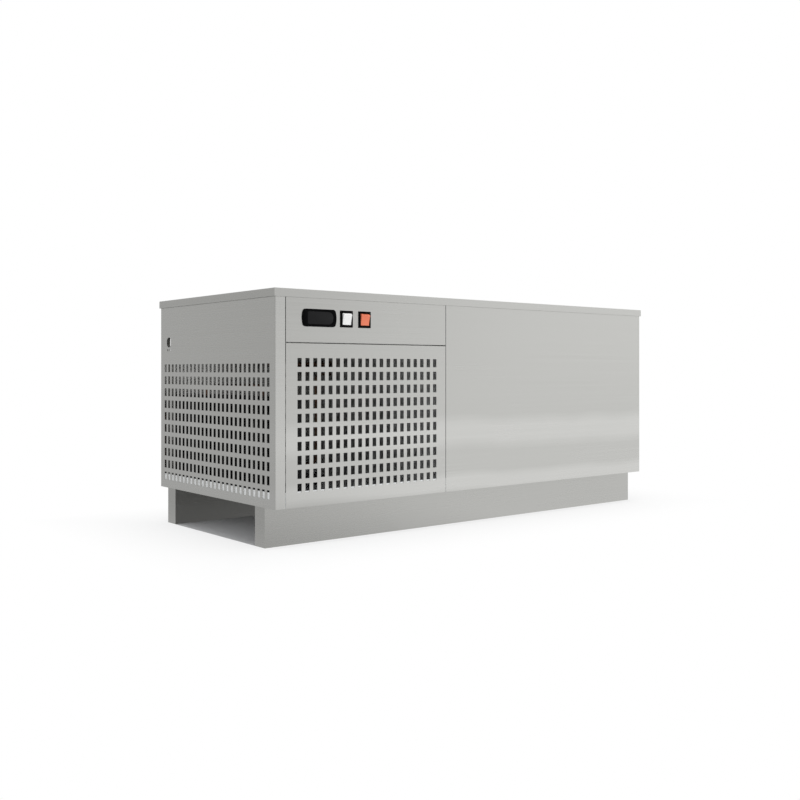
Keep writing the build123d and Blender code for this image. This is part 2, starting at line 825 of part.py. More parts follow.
# Compressor: a steel pot with its foot plate welded on
x_compressor = x_left + compressor_from_end
y_compressor = y_back - compressor_from_back
z_foot_plate = z_tray + grommet_height
z_pot_top = z_foot_plate + compressor_height
with BuildPart() as compressor_shell:
    with BuildSketch(Plane.XY.offset(z_foot_plate)):
        with Locations((x_compressor, y_compressor)):
            foot_outline = Rectangle(foot_plate_length, foot_plate_width)
        chamfer(foot_outline.vertices(), foot_corner)
    extrude(amount=foot_plate_sheet)
    with Locations((x_compressor, y_compressor, z_foot_plate)):
        Cylinder(compressor_radius, compressor_height, align=on_its_base)
compressor_shell.part.label = "compressor_shell"
export_step(compressor_shell.part, "parts/compressor_shell.step")

# Rubber blocks under the corners of the foot plate
with BuildPart() as compressor_grommets:
    with BuildSketch(Plane.XY.offset(z_tray)):
        with Locations((x_compressor, y_compressor)):
            with GridLocations(
                foot_plate_length - 2 * grommet_inset, foot_plate_width - 2 * grommet_inset, 2, 2
            ):
                Rectangle(grommet_width, grommet_width)
    extrude(amount=grommet_height)
compressor_grommets.part.label = "compressor_grommets"
export_step(compressor_grommets.part, "parts/compressor_grommets.step")

# Cover over the compressor's terminals, on the side that faces the front
with BuildPart() as terminal_cover:
    y_cover = y_compressor - compressor_radius - seat_gap
    with BuildSketch(front_plane(x_compressor, y_cover, z_foot_plate + terminal_cover_lift)):
        Rectangle(terminal_cover_width, terminal_cover_height, align=(Align.CENTER, Align.MIN))
    extrude(amount=terminal_cover_depth)
    chamfer(terminal_cover.edges().group_by(Axis.Y)[0], terminal_cover_depth / 8)
terminal_cover.part.label = "terminal_cover"
export_step(terminal_cover.part, "parts/terminal_cover.step")


def brazed_pipe(name, points, radius):
    """A round pipe through the given points, with a brazed corner at every turn."""
    with BuildPart() as pipe:
        with BuildLine() as route:
            Polyline(*points)
        with BuildSketch(Plane(origin=route.line @ 0, z_dir=route.line % 0)):
            Circle(radius)
        sweep(transition=Transition.RIGHT)
    pipe.part.label = name
    export_step(pipe.part, f"parts/{name}.step")


# Discharge pipe, from the compressor's top over the shroud into the condenser's top
z_over = z_core_top + discharge_over_condenser
x_discharge = x_compressor - stub_offset
brazed_pipe(
    "discharge_pipe",
    [
        (x_discharge, y_compressor, z_pot_top),
        (x_discharge, y_compressor, z_over),
        (x_core_middle, y_compressor, z_over),
        (x_core_middle, y_compressor, z_core_top),
    ],
    gas_pipe_radius,
)

# Outlet pipe at the condenser's foot, to the filter drier along the back
y_plate_face = y_core_end + end_plate_sheet
z_outlet = z_tray + condenser_outlet_lift
x_drier = x_core_middle + drier_run
brazed_pipe(
    "condenser_pipe",
    [
        (x_core_middle, y_plate_face, z_outlet),
        (x_core_middle, y_pipes, z_outlet),
        (x_drier, y_pipes, z_outlet),
    ],
    liquid_pipe_radius,
)

# Filter drier, a can of drying agent in the liquid line
with BuildPart(side_plane(x_drier, y_pipes, z_outlet)) as filter_drier:
    Cylinder(drier_radius, drier_length, align=on_its_base)
filter_drier.part.label = "filter_drier"
export_step(filter_drier.part, "parts/filter_drier.step")

# Liquid pipe, from the drier along the back and up to the evaporator
x_riser = x_bay - riser_from_partition
x_evaporator = x_tank + evaporator_from_tank_end
brazed_pipe(
    "liquid_pipe",
    [
        (x_drier + drier_length, y_pipes, z_outlet),
        (x_riser, y_pipes, z_outlet),
        (x_riser, y_pipes, z_liquid),
        (x_evaporator, y_pipes, z_liquid),
    ],
    liquid_pipe_radius,
)

# Suction pipe, from the evaporator back over the compressor and into its top
x_suction = x_compressor + stub_offset
brazed_pipe(
    "suction_pipe",
    [
        (x_evaporator, y_pipes, z_suction),
        (x_suction, y_pipes, z_suction),
        (x_suction, y_compressor, z_suction),
        (x_suction, y_compressor, z_pot_top),
    ],
    suction_pipe_radius,
)

# Evaporator, a pillow plate with raised channels that hangs beside the tank's back wall
z_evaporator_top = z_rim - evaporator_below_rim
z_evaporator = z_evaporator_top - evaporator_height
channel_rows = int((evaporator_height - 2 * evaporator_margin) / evaporator_channel_pitch)
evaporator_plane = front_plane(
    x_evaporator + evaporator_length / 2, y_pipes, z_evaporator + evaporator_height / 2
)
with BuildPart() as evaporator_plate:
    with BuildSketch(evaporator_plane):
        Rectangle(evaporator_length, evaporator_height)
    extrude(amount=evaporator_sheet / 2, both=True)
    with BuildSketch(evaporator_plane):
        with GridLocations(0, evaporator_channel_pitch, 1, channel_rows):
            Rectangle(evaporator_length - 2 * evaporator_margin, evaporator_channel_width)
    extrude(amount=evaporator_channel / 2, both=True)
evaporator_plate.part.label = "evaporator_plate"
export_step(evaporator_plate.part, "parts/evaporator_plate.step")

# Spacers that hold the evaporator off the wall
with BuildPart() as evaporator_spacers:
    spacer_plane = front_plane(
        x_evaporator + evaporator_length / 2, y_inside_back, z_evaporator + evaporator_height / 2
    )
    with BuildSketch(spacer_plane):
        with GridLocations(evaporator_length - 2 * spacer_inset, 0, 2, 1):
            Rectangle(spacer_size, evaporator_channel_width)
    extrude(amount=pipe_wall_gap - evaporator_channel / 2)
evaporator_spacers.part.label = "evaporator_spacers"
export_step(evaporator_spacers.part, "parts/evaporator_spacers.step")

# Circulation pump on the tank's floor, with a slotted strainer on its left side
z_floor = z_tank + sheet
z_pump_top = z_floor + pump_height
y_riser = y_inside_back - pump_from_back + pump_width / 2
y_pump = y_riser - pump_width / 4
with BuildPart() as circulation_pump:
    with BuildSketch(Plane.XY.offset(z_floor)):
        with Locations((x_pump, y_pump)):
            Rectangle(pump_length, pump_width)
    extrude(amount=pump_height)
    chamfer(circulation_pump.edges().group_by(Axis.Z)[-1], pump_width / 15)
circulation_pump.part.label = "circulation_pump"
export_step(circulation_pump.part, "parts/circulation_pump.step")

strainer_height = pump_height * 2 / 3
with BuildPart() as pump_strainer:
    sheet_box(
        (x_pump + pump_length / 2, y_pump - pump_width / 3, z_floor),
        (x_pump + pump_length / 2 + strainer_depth, y_pump + pump_width / 3, z_floor + strainer_height),
    )
    offset(
        amount=-electrical_box_wall,
        openings=pump_strainer.faces().sort_by(Axis.X)[0],
        kind=Kind.INTERSECTION,
    )
    x_strainer_face = x_pump + pump_length / 2 + strainer_depth
    with BuildSketch(side_plane(x_strainer_face, y_pump, z_floor + strainer_height / 2)):
        with GridLocations(0, strainer_slot_pitch, 1, 3):
            Rectangle(pump_width / 2, strainer_slot)
    extrude(amount=-strainer_depth / 2, mode=Mode.SUBTRACT)
pump_strainer.part.label = "pump_strainer"
export_step(pump_strainer.part, "parts/pump_strainer.step")

# Riser, a moulded duct from the pump's top that turns into the supply fitting
y_riser_front = y_riser - riser_width / 2
y_riser_back = y_riser + riser_width / 2
z_arm = z_port - riser_width / 2
z_arm_top = z_port + riser_width / 2
with BuildPart() as pump_riser:
    with BuildSketch(side_plane(x_pump, 0, 0)):
        with BuildLine():
            Polyline(
                (y_riser_front, z_pump_top),
                (y_riser_back, z_pump_top),
                (y_riser_back, z_arm),
                (y_port_inside, z_arm),
                (y_port_inside, z_arm_top),
                (y_riser_front + riser_chamfer, z_arm_top),
                (y_riser_front, z_arm_top - riser_chamfer),
                close=True,
            )
        make_face()
    extrude(amount=riser_width / 2, both=True)
pump_riser.part.label = "pump_riser"
export_step(pump_riser.part, "parts/pump_riser.step")

# Supply and return fittings: hexagonal bulkhead bodies through the back, with threaded ends
for port_name, x_port in zip(("supply_fitting", "return_fitting"), port_centres):
    with BuildPart() as fitting:
        with BuildSketch(back_plane(x_port, y_port_inside, z_port)):
            RegularPolygon(port_hex_across_corners / 2, 6)
        extrude(amount=y_back + port_hex_thickness - y_port_inside)
        with BuildSketch(back_plane(x_port, y_back + port_hex_thickness, z_port)):
            Circle(port_radius)
        extrude(amount=port_reach - port_hex_thickness)
        cut_round_hole(
            (x_port, y_port_inside, z_port),
            (0, 1, 0),
            port_bore,
            y_back + port_reach - y_port_inside,
        )
    fitting.part.label = port_name
    export_step(fitting.part, f"parts/{port_name}.step")

# Drain at the back's foot, closed by a hexagonal plug
with BuildPart() as drain_fitting:
    with BuildSketch(back_plane(x_drain, y_inside_back, z_drain)):
        RegularPolygon(drain_hex_across_corners / 2, 6)
    extrude(amount=y_back + port_hex_thickness - y_inside_back)
drain_fitting.part.label = "drain_fitting"
export_step(drain_fitting.part, "parts/drain_fitting.step")

with BuildPart() as drain_plug:
    with BuildSketch(back_plane(x_drain, y_back + port_hex_thickness, z_drain)):
        RegularPolygon(drain_plug_across_corners / 2, 6)
    extrude(amount=drain_plug_thickness)
    chamfer(drain_plug.edges().group_by(Axis.Y)[-1], drain_plug_thickness / 6)
drain_plug.part.label = "drain_plug"
export_step(drain_plug.part, "parts/drain_plug.step")

# Temperature probe, plugged into the pump's top beside the riser
with BuildPart() as temperature_probe:
    with Locations((x_pump - pump_length / 2 + probe_from_pump_edge, y_pump, z_pump_top)):
        Cylinder(probe_radius, probe_length, align=on_its_base)
temperature_probe.part.label = "temperature_probe"
export_step(temperature_probe.part, "parts/temperature_probe.step")
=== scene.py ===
# %% [markdown]
# # A recirculating chiller in brushed stainless steel
# The chiller is a long low cabinet. Its left end is a refrigeration bay behind punched sheet, and
# the rest is an insulated water tank under one long lid. The true shapes and sizes come from the
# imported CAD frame. This lesson dresses that frame: it makes the finishes, adds the moulded, wired
# and turned details that a drawing leaves out, and sets up the picture.

# %% Load the frame
import json
import math

import bpy
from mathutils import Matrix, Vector


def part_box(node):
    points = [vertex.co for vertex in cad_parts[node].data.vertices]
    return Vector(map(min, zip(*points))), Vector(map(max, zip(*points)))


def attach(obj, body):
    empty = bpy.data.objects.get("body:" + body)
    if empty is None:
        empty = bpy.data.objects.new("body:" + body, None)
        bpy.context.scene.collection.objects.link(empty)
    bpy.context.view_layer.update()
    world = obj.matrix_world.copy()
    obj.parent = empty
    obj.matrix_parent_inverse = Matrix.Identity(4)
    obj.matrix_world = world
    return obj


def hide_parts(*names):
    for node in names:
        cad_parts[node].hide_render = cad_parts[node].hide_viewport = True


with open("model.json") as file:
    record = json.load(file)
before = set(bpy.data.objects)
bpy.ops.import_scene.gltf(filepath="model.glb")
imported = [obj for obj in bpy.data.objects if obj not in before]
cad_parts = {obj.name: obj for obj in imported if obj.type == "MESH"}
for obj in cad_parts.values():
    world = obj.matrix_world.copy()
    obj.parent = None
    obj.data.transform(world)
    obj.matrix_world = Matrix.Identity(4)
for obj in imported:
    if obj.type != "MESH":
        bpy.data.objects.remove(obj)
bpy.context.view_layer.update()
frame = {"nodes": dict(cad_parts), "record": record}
nodes = frame["nodes"]

# %% [markdown]
# ## The camera
# The picture was taken from the front left, at a height inside the cabinet's own, so the top is
# not seen. A level camera keeps upright edges upright. Such a camera is often framed by sliding
# the image instead of tilting the lens, which is what the two shift values do. The place and the
# lens were worked out from the cabinet's known corners, because a camera set by eye never lines
# up with all of them at once.

# %% Camera
bpy.ops.object.camera_add(
    location=(-1.5163, -1.8656, 0.3442),
    rotation=(math.radians(90), 0, math.radians(-40.07)),
)
camera = bpy.context.active_object
camera.name = "photo_camera"
camera.data.lens = 43.99
camera.data.sensor_width = 36.0
camera.data.shift_x = -0.0387
camera.data.shift_y = -0.0379
bpy.context.scene.camera = camera
print("camera lens", round(camera.data.lens, 2), "mm")

# %% [markdown]
# ## Node helpers
# Every finish is built from the same few steps: take the object's own coordinates, stretch them,
# read a noise, and spread the result over a range. The room and the floor use the same steps.
# Small helpers keep each of them short enough to read in one look. Object coordinates are in
# metres, so a stretch of 500 gives grain of about two millimetres.


# %% Helpers for finishes
def start_finish(name):
    """A new material, its node tree and its shader."""
    finish = bpy.data.materials.new(name)
    finish.use_nodes = True
    return finish, finish.node_tree, finish.node_tree.nodes["Principled BSDF"]


def stretched(tree, scale, turn=(0, 0, 0)):
    """Object coordinates, turned and stretched."""
    source = tree.nodes.new("ShaderNodeTexCoord")
    mapping = tree.nodes.new("ShaderNodeMapping")
    mapping.inputs["Scale"].default_value = scale
    mapping.inputs["Rotation"].default_value = turn
    tree.links.new(source.outputs["Object"], mapping.inputs["Vector"])
    return mapping.outputs["Vector"]


def noise(tree, vector, scale=1.0, detail=3.0, rough=0.5, warp=0.0):
    """A noise value read at a vector."""
    cloud = tree.nodes.new("ShaderNodeTexNoise")
    cloud.inputs["Scale"].default_value = scale
    cloud.inputs["Detail"].default_value = detail
    cloud.inputs["Roughness"].default_value = rough
    cloud.inputs["Distortion"].default_value = warp
    tree.links.new(vector, cloud.inputs["Vector"])
    return cloud.outputs["Fac"]


def spread(tree, value, low, high, low_in=0.3, high_in=0.7):
    """A value moved from one range to another."""
    ranged = tree.nodes.new("ShaderNodeMapRange")
    ranged.inputs["From Min"].default_value = low_in
    ranged.inputs["From Max"].default_value = high_in
    ranged.inputs["To Min"].default_value = low
    ranged.inputs["To Max"].default_value = high
    tree.links.new(value, ranged.inputs["Value"])
    return ranged.outputs["Result"]


def combine(tree, operation, first, second):
    """One sum with a socket and either a number or another socket."""
    sum_node = tree.nodes.new("ShaderNodeMath")
    sum_node.operation = operation
    tree.links.new(first, sum_node.inputs[0])
    if isinstance(second, float):
        sum_node.inputs[1].default_value = second
    else:
        tree.links.new(second, sum_node.inputs[1])
    return sum_node.outputs[0]


def parts_of(tree, vector):
    """The X, Y and Z sockets of a vector."""
    parts = tree.nodes.new("ShaderNodeSeparateXYZ")
    tree.links.new(vector, parts.inputs["Vector"])
    return parts.outputs


def mixed(tree, factor, first, second):
    """Two shaders mixed by a factor."""
    mix = tree.nodes.new("ShaderNodeMixShader")
    tree.links.new(factor, mix.inputs["Fac"])
    tree.links.new(first, mix.inputs[1])
    tree.links.new(second, mix.inputs[2])
    return mix.outputs[0]


def blend_colours(tree, factor, first, second):
    """A colour between two, by a factor. Either may be a socket or three numbers."""
    mix = tree.nodes.new("ShaderNodeMix")
    mix.data_type = "RGBA"
    tree.links.new(factor, mix.inputs[0])
    for socket, colour in ((mix.inputs[6], first), (mix.inputs[7], second)):
        if isinstance(colour, tuple):
            socket.default_value = (*colour, 1.0)
        else:
            tree.links.new(colour, socket)
    return mix.outputs[2]


def raise_surface(tree, shader, height, strength, distance):
    """A bump on the shader from a height value."""
    bump = tree.nodes.new("ShaderNodeBump")
    bump.inputs["Strength"].default_value = strength
    bump.inputs["Distance"].default_value = distance
    tree.links.new(height, bump.inputs["Height"])
    tree.links.new(bump.outputs["Normal"], shader.inputs["Normal"])


print("node helpers ready")

# %% [markdown]
# ## Light
# Brushed steel shows what stands around it more than the lamps that shine on it. A photographer
# turns such a cabinet in a white room whose walls are a little darker on one side, because in an
# evenly white room its end and its front would be the same grey and the corner would vanish. Here
# the walls that metal mirrors go from light grey on the left to white on the right. Two broad
# lamps light the plastic, the paint and the floor. Small lamps would put hot spots in the metal.

# %% World
world = bpy.data.worlds.new("studio_room")
bpy.context.scene.world = world
world.use_nodes = True
room = world.node_tree
room.nodes.clear()


def background(colour, strength):
    """A background of one colour and strength."""
    panel = room.nodes.new("ShaderNodeBackground")
    panel.inputs["Color"].default_value = (*colour, 1.0)
    panel.inputs["Strength"].default_value = strength
    return panel


lit = background((0.98, 0.99, 1.0), 0.80)
white = background((1.0, 1.0, 1.0), 1.0)
walls = background((1.0, 1.0, 1.0), 1.0)
wall_tone = room.nodes.new("ShaderNodeValToRGB")
tones = wall_tone.color_ramp
tones.elements[0].position = 0.20
tones.elements[0].color = (0.50, 0.50, 0.495, 1.0)
tones.elements[1].position = 0.95
tones.elements[1].color = (1.0, 1.0, 1.0, 1.0)
for wall_at, wall_grey in ((0.34, 0.57), (0.62, 0.60), (0.74, 0.66), (0.85, 1.0)):
    step = tones.elements.new(wall_at)
    step.color = (wall_grey, wall_grey, wall_grey, 1.0)
direction = room.nodes.new("ShaderNodeTexCoord").outputs["Generated"]
wall_place = spread(room, parts_of(room, direction)["X"], 0.0, 1.0, -1.0, 1.0)
room.links.new(wall_place, wall_tone.inputs["Fac"])
room.links.new(wall_tone.outputs["Color"], walls.inputs["Color"])
seen = room.nodes.new("ShaderNodeLightPath").outputs
reflected = mixed(room, seen["Is Glossy Ray"], lit.outputs[0], walls.outputs[0])
direct = combine(room, "MAXIMUM", seen["Is Camera Ray"], seen["Is Transmission Ray"])
sky = room.nodes.new("ShaderNodeOutputWorld")
room.links.new(mixed(room, direct, reflected, white.outputs[0]), sky.inputs["Surface"])
bpy.context.scene.view_settings.view_transform = "Standard"
print("world strength for light", lit.inputs["Strength"].default_value)


# %% Lamps
def soft_lamp(name, place, aim, width, height, power):
    """A large rectangular lamp that faces a point. Metal mirrors the room and not the lamp."""
    bpy.ops.object.light_add(type="AREA", location=place)
    lamp = bpy.context.active_object
    lamp.name = name
    lamp.data.shape = "RECTANGLE"
    lamp.data.size = width
    lamp.data.size_y = height
    lamp.data.energy = power
    lamp.visible_glossy = False
    facing = Vector(aim) - Vector(place)
    lamp.rotation_euler = facing.to_track_quat("-Z", "Y").to_euler()
    return lamp


soft_lamp("front_right_lamp", (2.6, -2.4, 0.9), (0.2, -0.1, 0.25), 2.4, 1.4, 26)
soft_lamp("overhead_lamp", (0.0, -0.4, 2.6), (0.0, 0.0, 0.3), 2.6, 1.8, 26)

# %% [markdown]
# ## Brushed stainless steel
# The sheets were brushed in one direction with an abrasive belt, so each has fine lines along the
# cabinet and a few long scratches. Low on the panels two soft lighter bands run the whole length.
# They are painted reflections: light painted into the colour at two heights. The lines are a noise
# that is stretched hundreds of times more across the grain than along it. On upright sheets the
# grain is level; on the lid's top it runs along the cabinet, so the pattern looks at which way the
# surface faces.


# %% Brushed steel
def brushed_finish(name, dark, light, rough, painted_bands_at=(), painted_band_strength=0.0, metal=1.0):
    """Brushed sheet with level grain, painted reflection bands at given heights, smudges and
    scratches.
    """
    finish, tree, shader = start_finish(name)
    normal = tree.nodes.new("ShaderNodeNewGeometry").outputs["Normal"]
    upward = combine(tree, "ABSOLUTE", parts_of(tree, normal)["Z"], 0.0)
    across_grain = tree.nodes.new("ShaderNodeMix")
    across_grain.data_type = "VECTOR"
    tree.links.new(combine(tree, "GREATER_THAN", upward, 0.7), across_grain.inputs[0])
    tree.links.new(stretched(tree, (1.2, 1.2, 420.0)), across_grain.inputs[4])
    tree.links.new(stretched(tree, (1.2, 420.0, 1.2)), across_grain.inputs[5])
    grain = noise(tree, across_grain.outputs[1], 1.0, 6.0, 0.65)
    fine = noise(tree, across_grain.outputs[1], 3.7, 3.0, 0.6)
    smudges = noise(tree, stretched(tree, (3.0, 3.0, 4.0)), 1.0, 4.0, 0.6, 0.8)
    scratches = noise(tree, stretched(tree, (5.0, 5.0, 900.0), (0, 0.02, 0)), 1.0, 2.0, 0.4)
    lines = combine(tree, "ADD", spread(tree, grain, 0.0, 0.20), spread(tree, fine, 0.0, 0.08))
    tone = combine(tree, "ADD", lines, spread(tree, smudges, -0.05, 0.05))
    place = tree.nodes.new("ShaderNodeTexCoord").outputs["Object"]
    waves = noise(tree, stretched(tree, (1.0, 1.0, 1.0)), 3.0, 2.0, 0.5)
    ripple = spread(tree, waves, -0.008, 0.008)
    level = combine(tree, "ADD", parts_of(tree, place)["Z"], ripple)
    # Painted reflection bands: the colour is made lighter at given heights and stands in for light.
    for middle, reach in painted_bands_at:
        away = combine(tree, "ABSOLUTE", combine(tree, "SUBTRACT", level, middle), 0.0)
        painted_band = spread(tree, away, painted_band_strength, 0.0, reach * 0.35, reach)
        tone = combine(tree, "ADD", tone, painted_band)
    tree.links.new(blend_colours(tree, tone, dark, light), shader.inputs["Base Color"])
    shader.inputs["Metallic"].default_value = metal
    base_rough = spread(tree, smudges, rough - 0.02, rough + 0.03)
    lined = combine(tree, "ADD", base_rough, spread(tree, grain, -0.03, 0.03))
    tree.links.new(lined, shader.inputs["Roughness"])
    height = combine(tree, "ADD", grain, spread(tree, scratches, 0.0, 1.5, 0.72, 0.8))
    raise_surface(tree, shader, height, 0.012, 0.0002)
    return finish


# Two painted reflection bands low on the sheets, as lighter colour that stands in for light.
painted_reflection_bands = ((0.205, 0.040), (0.096, 0.026))
stainless = brushed_finish(
    "brushed_stainless", (0.560, 0.560, 0.540), (0.69, 0.69, 0.67), 0.24, painted_reflection_bands, 0.62
)
# A copy of the same steel, painted lighter for the end panel and with weaker painted bands: painted
# light.
stainless_painted_lighter_end = brushed_finish(
    "brushed_stainless_painted_lighter_end", (0.605, 0.605, 0.585), (0.735, 0.735, 0.715), 0.26, painted_reflection_bands, 0.12
)
# Pale zinc sheet, painted paler and less metallic than bare zinc: painted light that brightens the
# bay behind the slots.
galvanised = brushed_finish(
    "galvanised_sheet_painted_pale", (0.82, 0.83, 0.83), (0.93, 0.94, 0.94), 0.45, metal=0.35
)
# A copy of the same steel painted darker for the rails: painted shade low by the floor.
stainless_painted_darker_rails = brushed_finish(
    "brushed_stainless_painted_darker_rail", (0.500, 0.500, 0.482), (0.60, 0.60, 0.58), 0.28
)
print("sheet finishes ready")

# %% [markdown]
# ## Mouldings, rubber, foam and paint
# Moulded plastic has a fine spark-eroded grain, rubber is duller and blotched, foam is full of
# small cells and paint has a slight orange-peel. One helper covers them: a colour that wanders
# between two near shades, a roughness that wanders with it, and a small bump at the right scale.


# %% Moulded and painted finishes
def solid_finish(name, dark, light, rough, grain_scale, bump, metallic=0.0, coat=0.0, gloss=0.5):
    """A non-directional finish with small changes of colour, gloss and height."""
    finish, tree, shader = start_finish(name)
    place = stretched(tree, (1.0, 1.0, 1.0))
    cloud = noise(tree, place, 25.0, 4.0, 0.6, 0.4)
    texture = noise(tree, place, grain_scale, 3.0, 0.55)
    colour = blend_colours(tree, spread(tree, cloud, 0.0, 1.0), dark, light)
    tree.links.new(colour, shader.inputs["Base Color"])
    clouded = spread(tree, cloud, rough - 0.05, rough + 0.05)
    roughness = combine(tree, "ADD", clouded, spread(tree, texture, -0.04, 0.04))
    tree.links.new(roughness, shader.inputs["Roughness"])
    shader.inputs["Metallic"].default_value = metallic
    shader.inputs["Specular IOR Level"].default_value = gloss
    shader.inputs["Coat Weight"].default_value = coat
    shader.inputs["Coat Roughness"].default_value = 0.12
    raise_surface(tree, shader, texture, bump, 0.0002)
    return finish


black_moulding = solid_finish(
    "black_moulding", (0.0015, 0.0015, 0.0018), (0.003, 0.003, 0.0033), 0.5, 2600, 0.12, gloss=0.04
)
smoked_window = solid_finish(
    "smoked_window", (0.013, 0.013, 0.0135), (0.016, 0.016, 0.0165), 0.25, 900, 0.02, gloss=0.08
)
white_rocker_finish = solid_finish(
    "white_rocker", (0.86, 0.86, 0.85), (0.91, 0.91, 0.90), 0.34, 1500, 0.05, gloss=0.35
)
orange_rocker_finish = solid_finish(
    "orange_rocker", (0.80, 0.20, 0.105), (0.86, 0.235, 0.125), 0.34, 1500, 0.05, gloss=0.35
)
foam_finish = solid_finish("rigid_foam", (0.70, 0.62, 0.42), (0.80, 0.73, 0.54), 0.85, 700, 0.6)
rubber_finish = solid_finish(
    "black_rubber", (0.012, 0.012, 0.012), (0.022, 0.021, 0.020), 0.70, 900, 0.25, gloss=0.3
)
black_enamel = solid_finish(
    "black_enamel", (0.008, 0.008, 0.009), (0.016, 0.016, 0.017), 0.28, 160, 0.08, coat=0.3
)
black_powder = solid_finish(
    "black_powder_coat", (0.012, 0.012, 0.012), (0.022, 0.022, 0.022), 0.50, 1100, 0.30
)
grey_paint = solid_finish("motor_paint", (0.13, 0.14, 0.15), (0.18, 0.19, 0.20), 0.45, 700, 0.15)
brass_finish = solid_finish(
    "turned_brass", (0.55, 0.40, 0.18), (0.68, 0.52, 0.26), 0.28, 1300, 0.06, 1.0
)
copper_finish = solid_finish(
    "drawn_copper", (0.30, 0.17, 0.115), (0.42, 0.25, 0.17), 0.42, 500, 0.06, 1.0
)
ground_steel = solid_finish(
    "ground_steel", (0.48, 0.48, 0.48), (0.58, 0.58, 0.57), 0.22, 1500, 0.05, 1.0
)
print("materials:", len(bpy.data.materials))

# %% Give every CAD node its finish
finishes = {
    "stainless": stainless,
    "galvanised": galvanised,
    "foam": foam_finish,
    "black_plastic": black_moulding,
    "window": smoked_window,
    "white_rocker": white_rocker_finish,
    "orange_rocker": orange_rocker_finish,
    "brass": brass_finish,
    "copper": copper_finish,
    "fins": black_powder,
    "black_sheet": black_powder,
    "compressor_paint": black_enamel,
    "fan_plastic": black_moulding,
    "motor": grey_paint,
    "shaft_steel": ground_steel,
    "rubber": rubber_finish,
    "evaporator": stainless,
    "pump_plastic": black_moulding,
}
for entry in frame["record"]["subparts"]:
    node_object = nodes[entry["node"]]
    node_object.data.materials.clear()
    node_object.data.materials.append(finishes[entry["material_slot"]])
# The end panel takes the copy painted lighter, and the rails take the copy painted darker.
nodes["end_panel"].data.materials[0] = stainless_painted_lighter_end
for rail in ("plinth_rail_front", "plinth_rail_back"):
    nodes[rail].data.materials[0] = stainless_painted_darker_rails

# %% [markdown]
# ## Modelling helpers
# Each piece is made the way a hand would make it: add a primitive, pick faces or edges, extrude,
# inset or bevel them, and apply a modifier at the end. The helpers below only save repeating the
# same few operator calls. Parts are picked by where they are or which way they face, because the
# numbering of faces changes whenever a shape is edited.


# %% Picking and applying
def focus(piece):
    """Object mode, with one piece selected and active."""
    active = bpy.context.view_layer.objects.active
    if active and active.mode != "OBJECT":
        bpy.ops.object.mode_set(mode="OBJECT")
    bpy.ops.object.select_all(action="DESELECT")
    piece.select_set(True)
    bpy.context.view_layer.objects.active = piece


def settle(piece, name):
    """Name a fresh primitive and put its place, turn and scale into its mesh."""
    piece.name = name
    focus(piece)
    bpy.ops.object.transform_apply(location=True, rotation=True, scale=True)
    return piece


def choose(piece, kind, wanted):
    """Edit mode, with only the points, edges or faces selected that pass a test."""
    focus(piece)
    bpy.ops.object.mode_set(mode="EDIT")
    bpy.ops.mesh.select_mode(type=kind)
    bpy.ops.mesh.select_all(action="DESELECT")
    bpy.ops.object.mode_set(mode="OBJECT")
    mesh = piece.data
    if kind == "VERT":
        for point in mesh.vertices:
            point.select = wanted(point.co)
    elif kind == "EDGE":
        for edge in mesh.edges:
            start, end = (mesh.vertices[index].co for index in edge.vertices)
            edge.select = wanted(start, end)
    else:
        for face in mesh.polygons:
            face.select = wanted(face.center, face.normal)
    bpy.ops.object.mode_set(mode="EDIT")


def whole(piece):
    """Edit mode, with all of one piece selected."""
    focus(piece)
    bpy.ops.object.mode_set(mode="EDIT")
    bpy.ops.mesh.select_all(action="SELECT")


def modify(piece, kind, **settings):
    """Add a modifier with its settings and apply it."""
    focus(piece)
    modifier = piece.modifiers.new(kind, kind)
    for setting, value in settings.items():
        setattr(modifier, setting, value)
    bpy.ops.object.modifier_apply(modifier=modifier.name)


def soften(piece, width, segments=2, angle=35):
    """Round every edge that is sharper than an angle."""
    modify(
        piece, "BEVEL", width=width, segments=segments, limit_method="ANGLE",
        angle_limit=math.radians(angle), use_clamp_overlap=True,
    )


def carve(piece, cutter, operation="DIFFERENCE"):
    """Cut a piece with another and remove the cutter."""
    modify(piece, "BOOLEAN", operation=operation, object=cutter, solver="EXACT")
    bpy.data.objects.remove(cutter)


def joined(name, pieces):
    """Several pieces as one object."""
    focus(pieces[0])
    for piece in pieces[1:]:
        piece.select_set(True)
    if len(pieces) > 1:
        bpy.ops.object.join()
    pieces[0].name = name
    return pieces[0]


def copied(piece, name, shift):
    """A copy with its own mesh, moved by a shift."""
    focus(piece)
    bpy.ops.object.duplicate()
    copy = bpy.context.active_object
    bpy.ops.transform.translate(value=shift)
    return settle(copy, name)


def repeated(piece, rows, row_step, columns, column_step):
    """A piece and its copies in rows and columns, as one list."""
    pieces = [piece]
    for row in range(rows):
        for column in range(columns):
            if row or column:
                shift = Vector(row_step) * row + Vector(column_step) * column
                pieces.append(copied(piece, piece.name, shift))
    return pieces


def dress(piece, body, finish, stands_for=(), angle=35):
    """Close a piece: outward faces, smooth shading, its finish, its body and what it replaces."""
    whole(piece)
    bpy.ops.mesh.normals_make_consistent(inside=False)
    bpy.ops.object.mode_set(mode="OBJECT")
    bpy.ops.object.shade_smooth_by_angle(angle=math.radians(angle))
    piece.data.materials.clear()
    piece.data.materials.append(finish)
    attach(piece, body)
    if stands_for:
        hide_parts(*stands_for)
    print(piece.name, len(piece.data.polygons), "faces")
    return piece


# %% Blocks, rods, turned shapes and pipes
quarter = math.pi / 2
facing_axis = {"X": (0, quarter, 0), "Y": (-quarter, 0, 0), "Z": (0, 0, 0)}
unit = {"X": Vector((1, 0, 0)), "Y": Vector((0, 1, 0)), "Z": Vector((0, 0, 1))}


